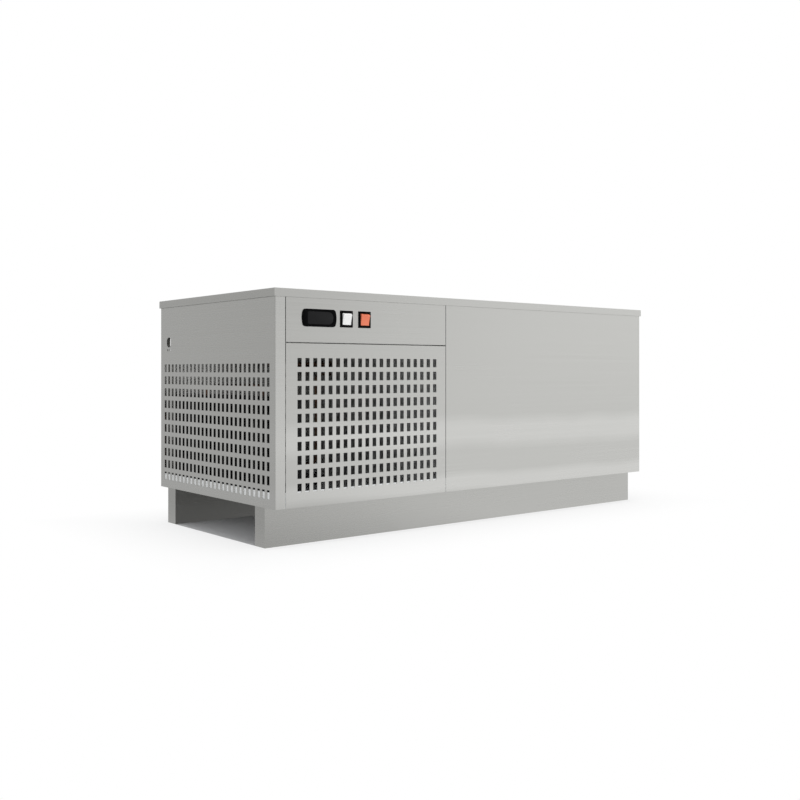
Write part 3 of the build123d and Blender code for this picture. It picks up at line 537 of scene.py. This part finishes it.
def block(name, low, high):
    """A block between two corners."""
    bpy.ops.object.select_all(action="DESELECT")
    middle = [(start + end) / 2 for start, end in zip(low, high)]
    bpy.ops.mesh.primitive_cube_add(size=1.0, location=middle)
    piece = bpy.context.active_object
    piece.scale = [end - start for start, end in zip(low, high)]
    return settle(piece, name)


def rod(name, centre, radius, length, axis, sides=48):
    """A round or many-sided rod about its middle."""
    bpy.ops.object.select_all(action="DESELECT")
    bpy.ops.mesh.primitive_cylinder_add(
        vertices=sides, radius=radius, depth=length, location=centre, rotation=facing_axis[axis]
    )
    return settle(bpy.context.active_object, name)


def turned(name, base, axis, profile, sides=48):
    """A turned shape: a disc, extruded and resized through pairs of distance and radius."""
    bpy.ops.object.select_all(action="DESELECT")
    base = Vector(base)
    along, radius = profile[0]
    bpy.ops.mesh.primitive_circle_add(
        vertices=sides, radius=radius, fill_type="NGON",
        location=base + unit[axis] * along, rotation=facing_axis[axis],
    )
    piece = settle(bpy.context.active_object, name)
    choose(piece, "FACE", lambda centre, normal: True)
    for next_along, next_radius in profile[1:]:
        bpy.ops.mesh.extrude_region_move(
            TRANSFORM_OT_translate={"value": unit[axis] * (next_along - along)}
        )
        factor = next_radius / radius
        bpy.ops.transform.resize(
            value=[1.0 if unit[axis][side] else factor for side in range(3)],
            center_override=base + unit[axis] * next_along,
        )
        along, radius = next_along, next_radius
    bpy.ops.object.mode_set(mode="OBJECT")
    return piece


def bent_pipe(name, points, radius, bend, sides=16):
    """A pipe: a ring that is extruded along each run and spun round each bend."""
    points = [Vector(point) for point in points]
    turn = (points[1] - points[0]).to_track_quat("Z", "Y").to_euler()
    bpy.ops.object.select_all(action="DESELECT")
    bpy.ops.mesh.primitive_circle_add(
        vertices=sides, radius=radius, location=points[0], rotation=turn
    )
    piece = settle(bpy.context.active_object, name)
    choose(piece, "EDGE", lambda start, end: True)
    for index in range(1, len(points)):
        run = points[index] - points[index - 1]
        heading = run.normalized()
        last = index == len(points) - 1
        length = run.length - (0 if index == 1 else bend) - (0 if last else bend)
        bpy.ops.mesh.extrude_region_move(TRANSFORM_OT_translate={"value": heading * length})
        if not last:
            onward = (points[index + 1] - points[index]).normalized()
            bpy.ops.mesh.spin(
                steps=8, angle=-heading.angle(onward),
                center=points[index] - heading * bend + onward * bend,
                axis=heading.cross(onward),
            )
    bpy.ops.mesh.select_all(action="SELECT")
    bpy.ops.mesh.remove_doubles(threshold=0.00001)
    bpy.ops.mesh.fill_holes(sides=sides)
    bpy.ops.object.mode_set(mode="OBJECT")
    return piece


def round_corners(piece, along, radius, segments):
    """Round the edges of a block that run along one axis."""
    side = "XYZ".index(along)
    choose(piece, "EDGE", lambda a, b: abs(a[side] - b[side]) > 0.8 * (a - b).length)
    bpy.ops.mesh.bevel(offset=radius, segments=segments, affect="EDGES")
    bpy.ops.object.mode_set(mode="OBJECT")


print("helpers ready")

# %% [markdown]
# ## The controller
# The digital controller is a moulded black case that is pushed through a cut-out in the fascia. Its
# bezel has rounded corners and sides that bow out a little, and a smoked window with one nearly
# round end sits in a shallow recess. The bezel starts as a thin block: its corner edges are
# bevelled, its side faces are divided and their rows are pushed in towards the corners. The
# recess is cut with a block that has the same rounded outline as the window.

# %% Controller bezel and case
low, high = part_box("controller_housing")
y_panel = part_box("control_fascia")[0][1]
x_mid, z_mid = (low[0] + high[0]) / 2, (low[2] + high[2]) / 2
half_height = (high[2] - low[2]) / 2
bezel_corner, side_bow, half_flat = 0.0045, 0.0032, 0.033
bezel = block("controller_bezel", low, (high[0], y_panel, high[2]))
round_corners(bezel, "Y", bezel_corner, 5)
choose(bezel, "FACE", lambda centre, normal: abs(normal.x) > 0.99)
bpy.ops.mesh.subdivide(number_cuts=6)
bpy.ops.object.mode_set(mode="OBJECT")
side_points = [p.co for p in bezel.data.vertices if abs(p.co.x - x_mid) > half_flat]
rows = sorted({round(point.z, 6) for point in side_points})
for row in rows:
    pushed = side_bow * ((row - z_mid) / half_height) ** 2
    for side in (-1, 1):
        choose(
            bezel, "VERT",
            lambda p: abs(p.z - row) < 0.000002 and side * (p.x - x_mid) > half_flat,
        )
        bpy.ops.transform.translate(value=(-side * pushed, 0, 0))
bpy.ops.object.mode_set(mode="OBJECT")


window_left, window_right, window_half = 0.0105, 0.0070, 0.0128
window_corner, round_end, recess = 0.0032, 0.0115, 0.0016


def window_block(name, margin, front, back):
    """The window's outline as a block: small corners on the left, a nearly round right end."""
    pane = block(
        name,
        (low[0] + window_left + margin, front, z_mid - window_half + margin),
        (high[0] - window_right - margin, back, z_mid + window_half - margin),
    )
    choose(pane, "EDGE", lambda a, b: abs(a.y - b.y) > 0.0005 and a.x > x_mid)
    bpy.ops.mesh.bevel(offset=round_end - margin, segments=12, affect="EDGES")
    choose(pane, "EDGE", lambda a, b: abs(a.y - b.y) > 0.0005 and a.x < low[0] + 0.02)
    bpy.ops.mesh.bevel(offset=window_corner, segments=5, affect="EDGES")
    bpy.ops.object.mode_set(mode="OBJECT")
    return pane


carve(bezel, window_block("window_recess", 0.0, low[1] - 0.001, low[1] + recess))
soften(bezel, 0.0006, 3)
case_half_width, case_half_height = 0.0353, 0.0143
case = block(
    "controller_case", (x_mid - case_half_width, y_panel, z_mid - case_half_height),
    (x_mid + case_half_width, high[1], z_mid + case_half_height),
)
soften(case, 0.001, 2)
choose(case, "FACE", lambda centre, normal: normal.y > 0.99)
bpy.ops.mesh.inset(thickness=0.003)
bpy.ops.mesh.extrude_region_move(TRANSFORM_OT_translate={"value": (0, -0.004, 0)})
bpy.ops.object.mode_set(mode="OBJECT")
dress(
    joined("controller_bezel", [bezel, case]), "cabinet", black_moulding,
    ("controller_housing",),
)

# %% Smoked window
pane = window_block("smoked_pane", 0.0002, low[1] + 0.0005, low[1] + recess)
soften(pane, 0.0004, 2, 60)
dress(pane, "cabinet", smoked_window, ("controller_window",))

# %% [markdown]
# ## The rocker switches
# Each switch is a black frame with a deep well, and a coloured rocker that sticks out further at
# its top than at its foot. The frame is a block with rounded corners, and its well is cut right
# down to where the rocker's drum turns, so the rocker never touches it. The rocker keeps the
# solid's exact drum and trunnions. Only its sharp valley is rounded into a thumb-shaped hollow and
# its ridges are softened, because those catch the light.

# %% Switch frames
well_half_width, well_half_height, well_depth = 0.01055, 0.01250, 0.018
body_half_width, body_half_height = 0.0133, 0.0153
for colour in ("white", "orange"):
    low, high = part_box(f"switch_housing_{colour}")
    x_mid, z_mid = (low[0] + high[0]) / 2, (low[2] + high[2]) / 2
    frame_front = block(f"frame_{colour}", low, (high[0], y_panel, high[2]))
    round_corners(frame_front, "Y", 0.0010, 3)
    soften(frame_front, 0.0004, 2, 50)
    body = block(
        f"switch_body_{colour}",
        (x_mid - body_half_width, y_panel, z_mid - body_half_height),
        (x_mid + body_half_width, high[1], z_mid + body_half_height),
    )
    soften(body, 0.0006, 2)
    frame_piece = joined(f"switch_frame_{colour}", [frame_front, body])
    well_cutter = block(
        "well", (x_mid - well_half_width, low[1] - 0.001, z_mid - well_half_height),
        (x_mid + well_half_width, low[1] + well_depth, z_mid + well_half_height),
    )
    carve(frame_piece, well_cutter)
    dress(frame_piece, "cabinet", black_moulding, (f"switch_housing_{colour}",))


# %% A copy of a solid to soften
def merged_copy(node, name):
    """A copy of a CAD node's mesh with its doubles merged and its flat faces made whole."""
    piece = bpy.data.objects.new(name, nodes[node].data.copy())
    bpy.context.collection.objects.link(piece)
    whole(piece)
    bpy.ops.mesh.remove_doubles(threshold=0.000002)
    bpy.ops.mesh.dissolve_limited(angle_limit=math.radians(0.5))
    bpy.ops.object.mode_set(mode="OBJECT")
    return piece


# %% Rockers
rocker_tilt = math.radians(13)
frame_proud, pivot_depth, valley_reach = 0.002, 0.0042, 0.0054
for colour, finish in (("white", white_rocker_finish), ("orange", orange_rocker_finish)):
    rocker = merged_copy(f"rocker_{colour}", f"soft_rocker_{colour}")
    low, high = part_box(f"switch_housing_{colour}")
    valley_y = y_panel - frame_proud + pivot_depth - valley_reach * math.cos(rocker_tilt)
    valley_z = (low[2] + high[2]) / 2 - valley_reach * math.sin(rocker_tilt)
    choose(
        rocker, "EDGE",
        lambda a, b: abs(a.x - b.x) > 0.015
        and max(abs(end.y - valley_y) for end in (a, b)) < 0.0004
        and max(abs(end.z - valley_z) for end in (a, b)) < 0.0004,
    )
    bpy.ops.mesh.bevel(offset=0.007, segments=8, affect="EDGES")
    bpy.ops.object.mode_set(mode="OBJECT")
    soften(rocker, 0.0005, 3, 34)
    dress(rocker, f"{colour}_rocker", finish, (f"rocker_{colour}",))

# %% [markdown]
# ## Hose connections
# Coolant leaves and comes back through two brass unions in the back, with a hexagon that a spanner
# holds and a pipe thread for the hose. The thread is a small triangle that is wound along the axis
# with the Screw modifier, at the real pitch of 1.8 mm. A stack of rings would be quicker but would
# not look like a thread from close by, because a thread climbs.


# %% A wound thread
def thread_ridge(name, base, radius, pitch, turns):
    """A helical ridge about the Y axis that starts at a base point."""
    ridge_radius = 0.00072
    bpy.ops.object.select_all(action="DESELECT")
    bpy.ops.mesh.primitive_circle_add(
        vertices=3, radius=ridge_radius, location=(radius - ridge_radius, 0, 0),
        rotation=(0, 0, -quarter),
    )
    ridge = settle(bpy.context.active_object, name)
    modify(
        ridge, "SCREW", axis="Y", angle=2 * math.pi, screw_offset=pitch, iterations=turns,
        steps=28, render_steps=28, use_merge_vertices=False,
    )
    choose(ridge, "EDGE", lambda a, b: True)
    bpy.ops.mesh.fill_holes(sides=3)
    bpy.ops.mesh.select_all(action="SELECT")
    bpy.ops.mesh.normals_make_consistent(inside=False)
    bpy.ops.transform.translate(value=base)
    bpy.ops.object.mode_set(mode="OBJECT")
    return ridge


# %% Unions
y_hexagon_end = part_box("rear_panel")[1][1] + 0.006
hexagon_radius, thread_radius, thread_pitch, bore = 0.018, 0.0132, 0.00181, 0.0090
for node in ("supply_fitting", "return_fitting"):
    low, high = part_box(node)
    x_mid, z_mid = (low[0] + high[0]) / 2, (low[2] + high[2]) / 2
    hexagon = rod(
        "hexagon", (x_mid, (low[1] + y_hexagon_end) / 2, z_mid), hexagon_radius,
        y_hexagon_end - low[1], "Y", 6,
    )
    whole(hexagon)
    bpy.ops.transform.rotate(
        value=math.radians(30), orient_axis="Y", center_override=(x_mid, 0, z_mid)
    )
    bpy.ops.object.mode_set(mode="OBJECT")
    soften(hexagon, 0.0007, 2)
    reach = high[1] - y_hexagon_end
    stub = turned(
        "stub", (x_mid, y_hexagon_end, z_mid), "Y",
        [
            (0.0, 0.0122), (reach - 0.0015, 0.0122), (reach, 0.0108), (reach, 0.0092),
            (reach - 0.0006, bore), (-0.025, bore),
        ],
    )
    ridge = thread_ridge(
        "ridge", (x_mid, y_hexagon_end + 0.0018, z_mid), thread_radius, thread_pitch, 7
    )
    dress(
        joined(node + "_union", [hexagon, stub, ridge]), "cabinet", brass_finish, (node,)
    )

# %% Drain and its plug
for node, edge in (("drain_fitting", 0.0007), ("drain_plug", 0.0006)):
    piece = merged_copy(node, node + "_softened")
    soften(piece, edge, 2)
    dress(piece, "cabinet", brass_finish, (node,))

# %% [markdown]
# ## Screws in the rear panel
# The rear panel lifts out after ten pan-head screws are undone. One screw is turned, its cross
# recess is cut with two thin blocks, and the rest are copies with their own mesh. They are all on
# the hidden back: the front and the end show no screws, because those panels hook on.

# %% Pan-head screws
rear_low, rear_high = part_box("rear_panel")
screw_inset = 0.010
first_screw = Vector((rear_low[0] + screw_inset, rear_high[1], rear_low[2] + 0.040))
screw = turned(
    "rear_screw", first_screw, "Y",
    [(0.0, 0.0040), (0.0008, 0.0040), (0.0015, 0.0036), (0.0020, 0.0026), (0.0022, 0.0010)], 20,
)
for reach_x, reach_z in ((0.0019, 0.00035), (0.00035, 0.0019)):
    cross = block(
        "cross", first_screw + Vector((-reach_x, 0.0010, -reach_z)),
        first_screw + Vector((reach_x, 0.0030, reach_z)),
    )
    carve(screw, cross)
side_span = rear_high[0] - rear_low[0] - 2 * screw_inset
row_step = (rear_high[2] - rear_low[2] - 0.075) / 3
rear_screws = repeated(screw, 4, (0, 0, row_step), 2, (side_span, 0, 0))
for row in (0, 3):
    rear_screws.append(copied(screw, "rear_screw", (side_span / 2, 0, row * row_step)))
dress(joined("rear_screws", rear_screws), "cabinet", ground_steel)

# %% [markdown]
# ## The condenser
# The condenser is a stack of thin black fins on two rows of copper tubes, which turn back at the
# ends in open bends. One corrugated fin is modelled from a grid, thickened, and repeated with
# an Array. One hairpin tube is an extruded ring that is spun half round, and eight of them stand in
# two rows.

# %% Fins
low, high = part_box("condenser")
fin_pitch, corrugation = 0.0025, 0.0008
depth, rise = high[0] - low[0], high[2] - low[2]
bpy.ops.object.select_all(action="DESELECT")
bpy.ops.mesh.primitive_grid_add(
    x_subdivisions=6, y_subdivisions=1, size=1.0, rotation=(quarter, 0, 0),
    location=((low[0] + high[0]) / 2, low[1] + corrugation, (low[2] + high[2]) / 2),
)
fins = bpy.context.active_object
fins.scale = (depth, rise, 1.0)
settle(fins, "condenser_fins")
ridges = [low[0] + depth * step / 6 for step in (1, 3, 5)]
choose(fins, "VERT", lambda p: min(abs(p.x - ridge) for ridge in ridges) < 0.0005)
bpy.ops.transform.translate(value=(0, corrugation, 0))
bpy.ops.object.mode_set(mode="OBJECT")
modify(fins, "SOLIDIFY", thickness=0.0003, offset=0.0)
modify(
    fins, "ARRAY", count=int((high[1] - low[1] - 0.002) / fin_pitch) + 1,
    use_relative_offset=False, use_constant_offset=True,
    constant_offset_displace=(0, fin_pitch, 0),
)
dress(fins, "cabinet", black_powder, ("condenser",))

# %% Hairpin tubes
tube_radius, tube_pitch = 0.0042, rise / 8
turn_radius = tube_pitch / 2 - 0.0001
front_row, back_row = low[0] + depth * 0.26, low[0] + depth * 0.74
z_tube = low[2] + tube_pitch / 2
y_turn, y_open = low[1] - 0.002 - tube_pitch / 2, high[1] + 0.004
hairpin = bent_pipe(
    "hairpin",
    [
        (front_row, y_open, z_tube), (front_row, y_turn, z_tube),
        (front_row, y_turn, z_tube + tube_pitch), (front_row, y_open, z_tube + tube_pitch),
    ],
    tube_radius, turn_radius, 14,
)
row_gap, pair_step = back_row - front_row, (0, 0, 2 * tube_pitch)
hairpins = repeated(hairpin, 2, (row_gap, 0, 0), 4, pair_step)
y_braze, y_turn = high[1] + 0.002, y_open + tube_pitch / 2
return_bend = bent_pipe(
    "return_bend",
    [
        (back_row, y_braze, z_tube + tube_pitch), (back_row, y_turn, z_tube + tube_pitch),
        (back_row, y_turn, z_tube + 2 * tube_pitch), (back_row, y_braze, z_tube + 2 * tube_pitch),
    ],
    tube_radius, turn_radius, 14,
)
bends = repeated(return_bend, 2, (-row_gap, 0, 0), 3, pair_step)
dress(joined("condenser_tubes", hairpins + bends), "cabinet", copper_finish)

# %% [markdown]
# ## The condenser fan
# The fan pulls air through the fins. Its five blades are moulded with the hub: each is cambered,
# twisted less towards the tip and swept forward, which makes it quieter than a flat paddle. A grid
# is bent row by row, thickened, trimmed to the tip circle and copied round the hub. It all rides
# on the fan. The middle is taken from the shaft, because a box round five blades isn't centred on
# their axis, and the tips would then cut into the ring of the shroud half a turn on.

# %% Blades
impeller_low, impeller_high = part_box("fan_impeller")
shaft_low, shaft_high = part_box("fan_shaft")
hub = Vector(
    (
        (impeller_low[0] + impeller_high[0]) / 2,
        (shaft_low[1] + shaft_high[1]) / 2,
        (shaft_low[2] + shaft_high[2]) / 2,
    )
)
print("fan axis:", [round(value, 4) for value in hub])
root, tip, half_chord = 0.027, 0.0872, 0.020
camber, sweep, root_angle, twist = 0.0035, 0.007, 38, 13
bpy.ops.object.select_all(action="DESELECT")
bpy.ops.mesh.primitive_grid_add(
    x_subdivisions=8, y_subdivisions=8, size=1.0, rotation=(0, -quarter, 0),
    location=hub + Vector((0, 0, (root + tip) / 2)),
)
blade = bpy.context.active_object
blade.scale = (tip - root, 2 * half_chord, 1.0)
settle(blade, "blade")
columns = sorted({round(p.co.y, 6) for p in blade.data.vertices})
for column in columns:
    bulge = camber * (1 - ((column - hub.y) / half_chord) ** 2)
    choose(blade, "VERT", lambda p: abs(p.y - column) < 0.00001)
    bpy.ops.transform.translate(value=(-bulge, 0, 0))
bpy.ops.object.mode_set(mode="OBJECT")
rows = sorted({round(p.co.z, 6) for p in blade.data.vertices})
for row in rows:
    out = (row - hub.z - root) / (tip - root)
    pivot = (hub.x, hub.y, row)
    choose(blade, "VERT", lambda p: abs(p.z - row) < 0.00001)
    bpy.ops.transform.resize(value=(1, 1 + 0.35 * out, 1), center_override=pivot)
    bpy.ops.transform.rotate(
        value=-math.radians(root_angle - twist * out), orient_axis="Z", center_override=pivot
    )
    bpy.ops.transform.translate(value=(0, sweep * out * out, 0))
bpy.ops.object.mode_set(mode="OBJECT")
modify(blade, "SOLIDIFY", thickness=0.0022, offset=0.0)
carve(blade, rod("tip_circle", hub, tip - 0.0004, 0.08, "X", 96), "INTERSECT")
blades = [blade]
for place_on_hub in range(1, 5):
    copy = copied(blade, "blade", (0, 0, 0))
    whole(copy)
    bpy.ops.transform.rotate(
        value=math.radians(72 * place_on_hub), orient_axis="X", center_override=hub
    )
    bpy.ops.object.mode_set(mode="OBJECT")
    blades.append(copy)

# %% Hub
hub_shape = turned(
    "hub", hub, "X",
    [
        (-0.0120, 0.0060), (-0.0119, 0.0150), (-0.0112, 0.0220), (-0.0095, 0.0265),
        (-0.0060, 0.0292), (-0.0010, 0.0300), (0.0120, 0.0300), (0.0120, 0.0275),
        (0.0020, 0.0270), (0.0020, 0.0090), (0.0120, 0.0080), (0.0120, 0.0042),
    ],
)
dress(
    joined("fan_blades_and_hub", [hub_shape] + blades), "fan", black_moulding,
    ("fan_impeller",),
)

# %% Rolled mouth of the shroud
ring_mouth = turned(
    "shroud_mouth", (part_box("fan_shroud")[1][0], hub.y, hub.z), "X",
    [
        (0.0000, 0.0970), (0.0006, 0.0975), (0.0030, 0.0962), (0.0046, 0.0940), (0.0050, 0.0918),
        (0.0044, 0.0900), (0.0000, 0.0893), (-0.0080, 0.0890), (-0.0080, 0.0902), (-0.0001, 0.0905),
        (-0.0001, 0.0909),
    ], 72,
)
choose(
    ring_mouth, "FACE",
    lambda centre, normal: max(abs(centre.y - hub.y), abs(centre.z - hub.z)) < 0.001,
)
bpy.ops.mesh.delete(type="FACE")
bpy.ops.object.mode_set(mode="OBJECT")
modify(ring_mouth, "SOLIDIFY", thickness=0.0006, offset=-1.0)
dress(ring_mouth, "cabinet", black_powder)

# %% Motor end bell and its through bolts
motor_low, motor_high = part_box("fan_motor")
bell = turned(
    "motor_bell", (motor_high[0], hub.y, hub.z), "X",
    [
        (0.0000, 0.0300), (0.0040, 0.0298), (0.0080, 0.0270), (0.0100, 0.0200), (0.0104, 0.0120),
        (0.0130, 0.0115), (0.0138, 0.0095), (0.0138, 0.0010),
    ],
)
dress(bell, "cabinet", grey_paint)
bolt_reach = 0.023
bolt = turned(
    "motor_bolt", (motor_high[0], hub.y + bolt_reach, hub.z + bolt_reach), "X",
    [(0.0, 0.0034), (0.0024, 0.0034), (0.0030, 0.0028), (0.0030, 0.0016), (0.0018, 0.0015)], 12,
)
bolts = repeated(bolt, 2, (0, 0, -2 * bolt_reach), 2, (0, -2 * bolt_reach, 0))
dress(joined("motor_bolts", bolts), "cabinet", ground_steel)

# %% [markdown]
# ## The compressor
# The compressor is a hermetic pot: two deep-drawn steel shells that are welded together round the
# middle, on a pressed foot plate that rides on four rubber grommets. It is a turned shape, so a
# disc is extruded and resized step by step up the pot, with a small step for the weld. The foot
# plate is a block with rounded corners, and its bolts are turned once and copied.

# %% Pot and foot plate
low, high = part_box("compressor_shell")
x_mid, y_mid = (low[0] + high[0]) / 2, (low[1] + high[1]) / 2
pot = turned(
    "pot", (x_mid, y_mid, low[2]), "Z",
    [
        (0.0020, 0.0460), (0.0035, 0.0550), (0.0070, 0.0610), (0.0130, 0.0640), (0.0220, 0.0650),
        (0.0860, 0.0650), (0.0865, 0.0660), (0.0905, 0.0660), (0.0910, 0.0632), (0.1180, 0.0630),
        (0.1290, 0.0605), (0.1370, 0.0550), (0.1430, 0.0460), (0.1470, 0.0340), (0.1490, 0.0200),
        (0.1496, 0.0060),
    ],
    64,
)
plate = block("foot_plate", low, (high[0], high[1], low[2] + 0.003))
round_corners(plate, "Z", 0.014, 6)
soften(plate, 0.0008, 2, 50)
dress(
    joined("compressor_pot", [pot, plate]), "cabinet", black_enamel,
    ("compressor_shell",), 30,
)

# %% Grommets and bolts
low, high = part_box("compressor_grommets")
grommet_radius, grommet_height = 0.010, 0.021
grommet_at = Vector((low[0] + grommet_radius, low[1] + grommet_radius, low[2]))
span_x = high[0] - low[0] - 2 * grommet_radius
span_y = high[1] - low[1] - 2 * grommet_radius
grommet = turned(
    "grommet", grommet_at, "Z",
    [
        (0.0, 0.0095), (0.0010, 0.0100), (0.0050, 0.0100), (0.0065, 0.0085), (0.0090, 0.0080),
        (0.0115, 0.0085), (0.0130, 0.0100), (0.0170, 0.0100), (0.0180, 0.0092),
    ],
    32,
)
mount_bolt = turned(
    "mount_bolt", grommet_at + Vector((0, 0, grommet_height)), "Z",
    [(0.0, 0.0090), (0.0015, 0.0090), (0.0015, 0.0058), (0.0060, 0.0058), (0.0066, 0.0050)], 6,
)
grommets, mount_bolts = (
    repeated(piece, 2, (0, span_y, 0), 2, (span_x, 0, 0)) for piece in (grommet, mount_bolt)
)
dress(
    joined("rubber_grommets", grommets), "cabinet", rubber_finish,
    ("compressor_grommets",),
)
dress(joined("mount_bolts", mount_bolts), "cabinet", ground_steel)

# %% [markdown]
# ## Refrigerant pipes
# The copper pipes are bent cold round a former, so every corner is a round bend of three to four
# pipe radii. A ring is extruded along the first run, spun about the centre of the bend, and
# extruded again, which is how the pipe itself is made. The ends run a little way into the pot and
# the wall of the condenser, where the braze is.

# %% Discharge and suction pipes
def lay_pipe(name, node, points, radius, bend):
    """A bent copper pipe in the place of a CAD pipe."""
    pipe = bent_pipe(name, points, radius, bend)
    dress(pipe, "cabinet", copper_finish, (node,))


low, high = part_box("discharge_pipe")
radius = (high[1] - low[1]) / 2
x_pot, x_core, y_mid, z_top = high[0] - radius, low[0] + radius, low[1] + radius, high[2] - radius
lay_pipe(
    "hot_gas_pipe", "discharge_pipe",
    [
        (x_pot, y_mid, low[2] - 0.004), (x_pot, y_mid, z_top), (x_core, y_mid, z_top),
        (x_core, y_mid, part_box("condenser")[1][2] - 0.002),
    ],
    radius, 0.014,
)
low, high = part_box("suction_pipe")
radius = 0.005
x_pot, y_tank, z_top = low[0] + radius, high[1] - radius, high[2] - radius
lay_pipe(
    "cold_gas_pipe", "suction_pipe",
    [
        (high[0], y_tank, z_top), (x_pot, y_tank, z_top), (x_pot, low[1] + radius, z_top),
        (x_pot, low[1] + radius, low[2] - 0.004),
    ],
    radius, 0.020,
)

# %% Liquid line
radius = 0.003
low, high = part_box("condenser_pipe")
x_core, y_drier, z_low = low[0] + radius, high[1] - radius, low[2] + radius
lay_pipe(
    "condenser_outlet", "condenser_pipe",
    [(x_core, low[1], z_low), (x_core, y_drier, z_low), (high[0], y_drier, z_low)],
    radius, 0.008,
)
low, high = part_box("liquid_pipe")
x_riser, y_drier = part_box("partition")[0][0] - 0.040, high[1] - radius
z_low, z_top = low[2] + radius, high[2] - radius
lay_pipe(
    "liquid_line", "liquid_pipe",
    [
        (low[0], y_drier, z_low), (x_riser, y_drier, z_low),
        (x_riser, y_drier, z_top), (high[0], y_drier, z_top),
    ],
    radius, 0.012,
)
low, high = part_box("filter_drier")
drier = turned(
    "spun_drier", (low[0], (low[1] + high[1]) / 2, (low[2] + high[2]) / 2), "X",
    [
        (0.0000, 0.0036), (0.0070, 0.0038), (0.0100, 0.0052), (0.0150, 0.0098), (0.0180, 0.0110),
        (0.0720, 0.0110), (0.0750, 0.0098), (0.0800, 0.0052), (0.0830, 0.0038), (0.0900, 0.0036),
    ],
    32,
)
dress(drier, "cabinet", copper_finish, ("filter_drier",))

# %% [markdown]
# ## The floor
# The floor is a plain pale sheet that carries the shadow. Between the two rails it is lit only by
# what reaches it, and its colour there is painted darker too, a painted shadow that deepens the
# tunnel. Further out the camera sees it fade to the same white as the room, so no horizon line cuts
# across behind the cabinet. Metal mirrors the floor as a grey that grows lighter to the right, as
# it does the walls, and between the rails as a painted dark glow, a painted reflection of shade.

# %% Floor
bpy.ops.object.select_all(action="DESELECT")
bpy.ops.mesh.primitive_plane_add(size=40, location=(0, 0, 0))
floor = bpy.context.active_object
floor.name = "studio_floor"
floor_finish, floor_tree, floor_shader = start_finish("pale_floor")
floor_shader.inputs["Roughness"].default_value = 0.85
place = floor_tree.nodes.new("ShaderNodeTexCoord").outputs["Object"]
sides = parts_of(floor_tree, place)
rail_corners = [
    nodes[rail].matrix_world @ Vector(corner)
    for rail in ("plinth_rail_front", "plinth_rail_back")
    for corner in nodes[rail].bound_box
]
reaches = []
for index, axis in enumerate("XY"):
    low = min(corner[index] for corner in rail_corners)
    high = max(corner[index] for corner in rail_corners)
    past_middle = combine(floor_tree, "SUBTRACT", sides[axis], (low + high) / 2)
    length = combine(floor_tree, "ABSOLUTE", past_middle, 0.0)
    outside = combine(floor_tree, "SUBTRACT", length, (high - low) / 2)
    reaches.append(combine(floor_tree, "MAXIMUM", outside, 0.0))
away_from_feet = combine(floor_tree, "MAXIMUM", reaches[0], reaches[1])
outside_feet = combine(floor_tree, "GREATER_THAN", away_from_feet, 0.0)
# Between the feet the floor's colour is painted darker: a painted shadow in the tunnel.
floor_colour_painted_dark_in_tunnel = blend_colours(floor_tree, outside_feet, (0.58, 0.58, 0.585), (0.90, 0.90, 0.90))
floor_tree.links.new(floor_colour_painted_dark_in_tunnel, floor_shader.inputs["Base Color"])
print("rails stand from y", round(low, 4), "to", round(high, 4))

# %% What the camera and the metal see of the floor
eye = floor_tree.nodes.new("ShaderNodeLightPath").outputs
fade = spread(floor_tree, away_from_feet, 0.70, 1.0, 0.0, 0.25)
looked = combine(floor_tree, "MULTIPLY", eye["Is Camera Ray"], fade)
paled = combine(floor_tree, "MULTIPLY", looked, outside_feet)
side_tone = spread(floor_tree, sides["X"], 0.52, 0.92, -0.7, 0.1)
# Between the rails the glow that metal mirrors is painted dark: a painted reflection of the
# tunnel's shade.
painted_tunnel_shade_in_mirror = spread(floor_tree, outside_feet, 0.26, 1.0, 0.0, 1.0)
mirror_tone = combine(floor_tree, "MULTIPLY", side_tone, painted_tunnel_shade_in_mirror)
mirrored = combine(floor_tree, "MULTIPLY", eye["Is Glossy Ray"], mirror_tone)
glow = floor_tree.nodes.new("ShaderNodeEmission")
glow_strength = combine(floor_tree, "MAXIMUM", eye["Is Camera Ray"], mirrored)
floor_tree.links.new(glow_strength, glow.inputs["Strength"])
glowing = combine(floor_tree, "MAXIMUM", paled, eye["Is Glossy Ray"])
surface = mixed(floor_tree, glowing, floor_shader.outputs["BSDF"], glow.outputs["Emission"])
floor_tree.links.new(surface, floor_tree.nodes["Material Output"].inputs["Surface"])
floor.data.materials.append(floor_finish)
print("floor ready")
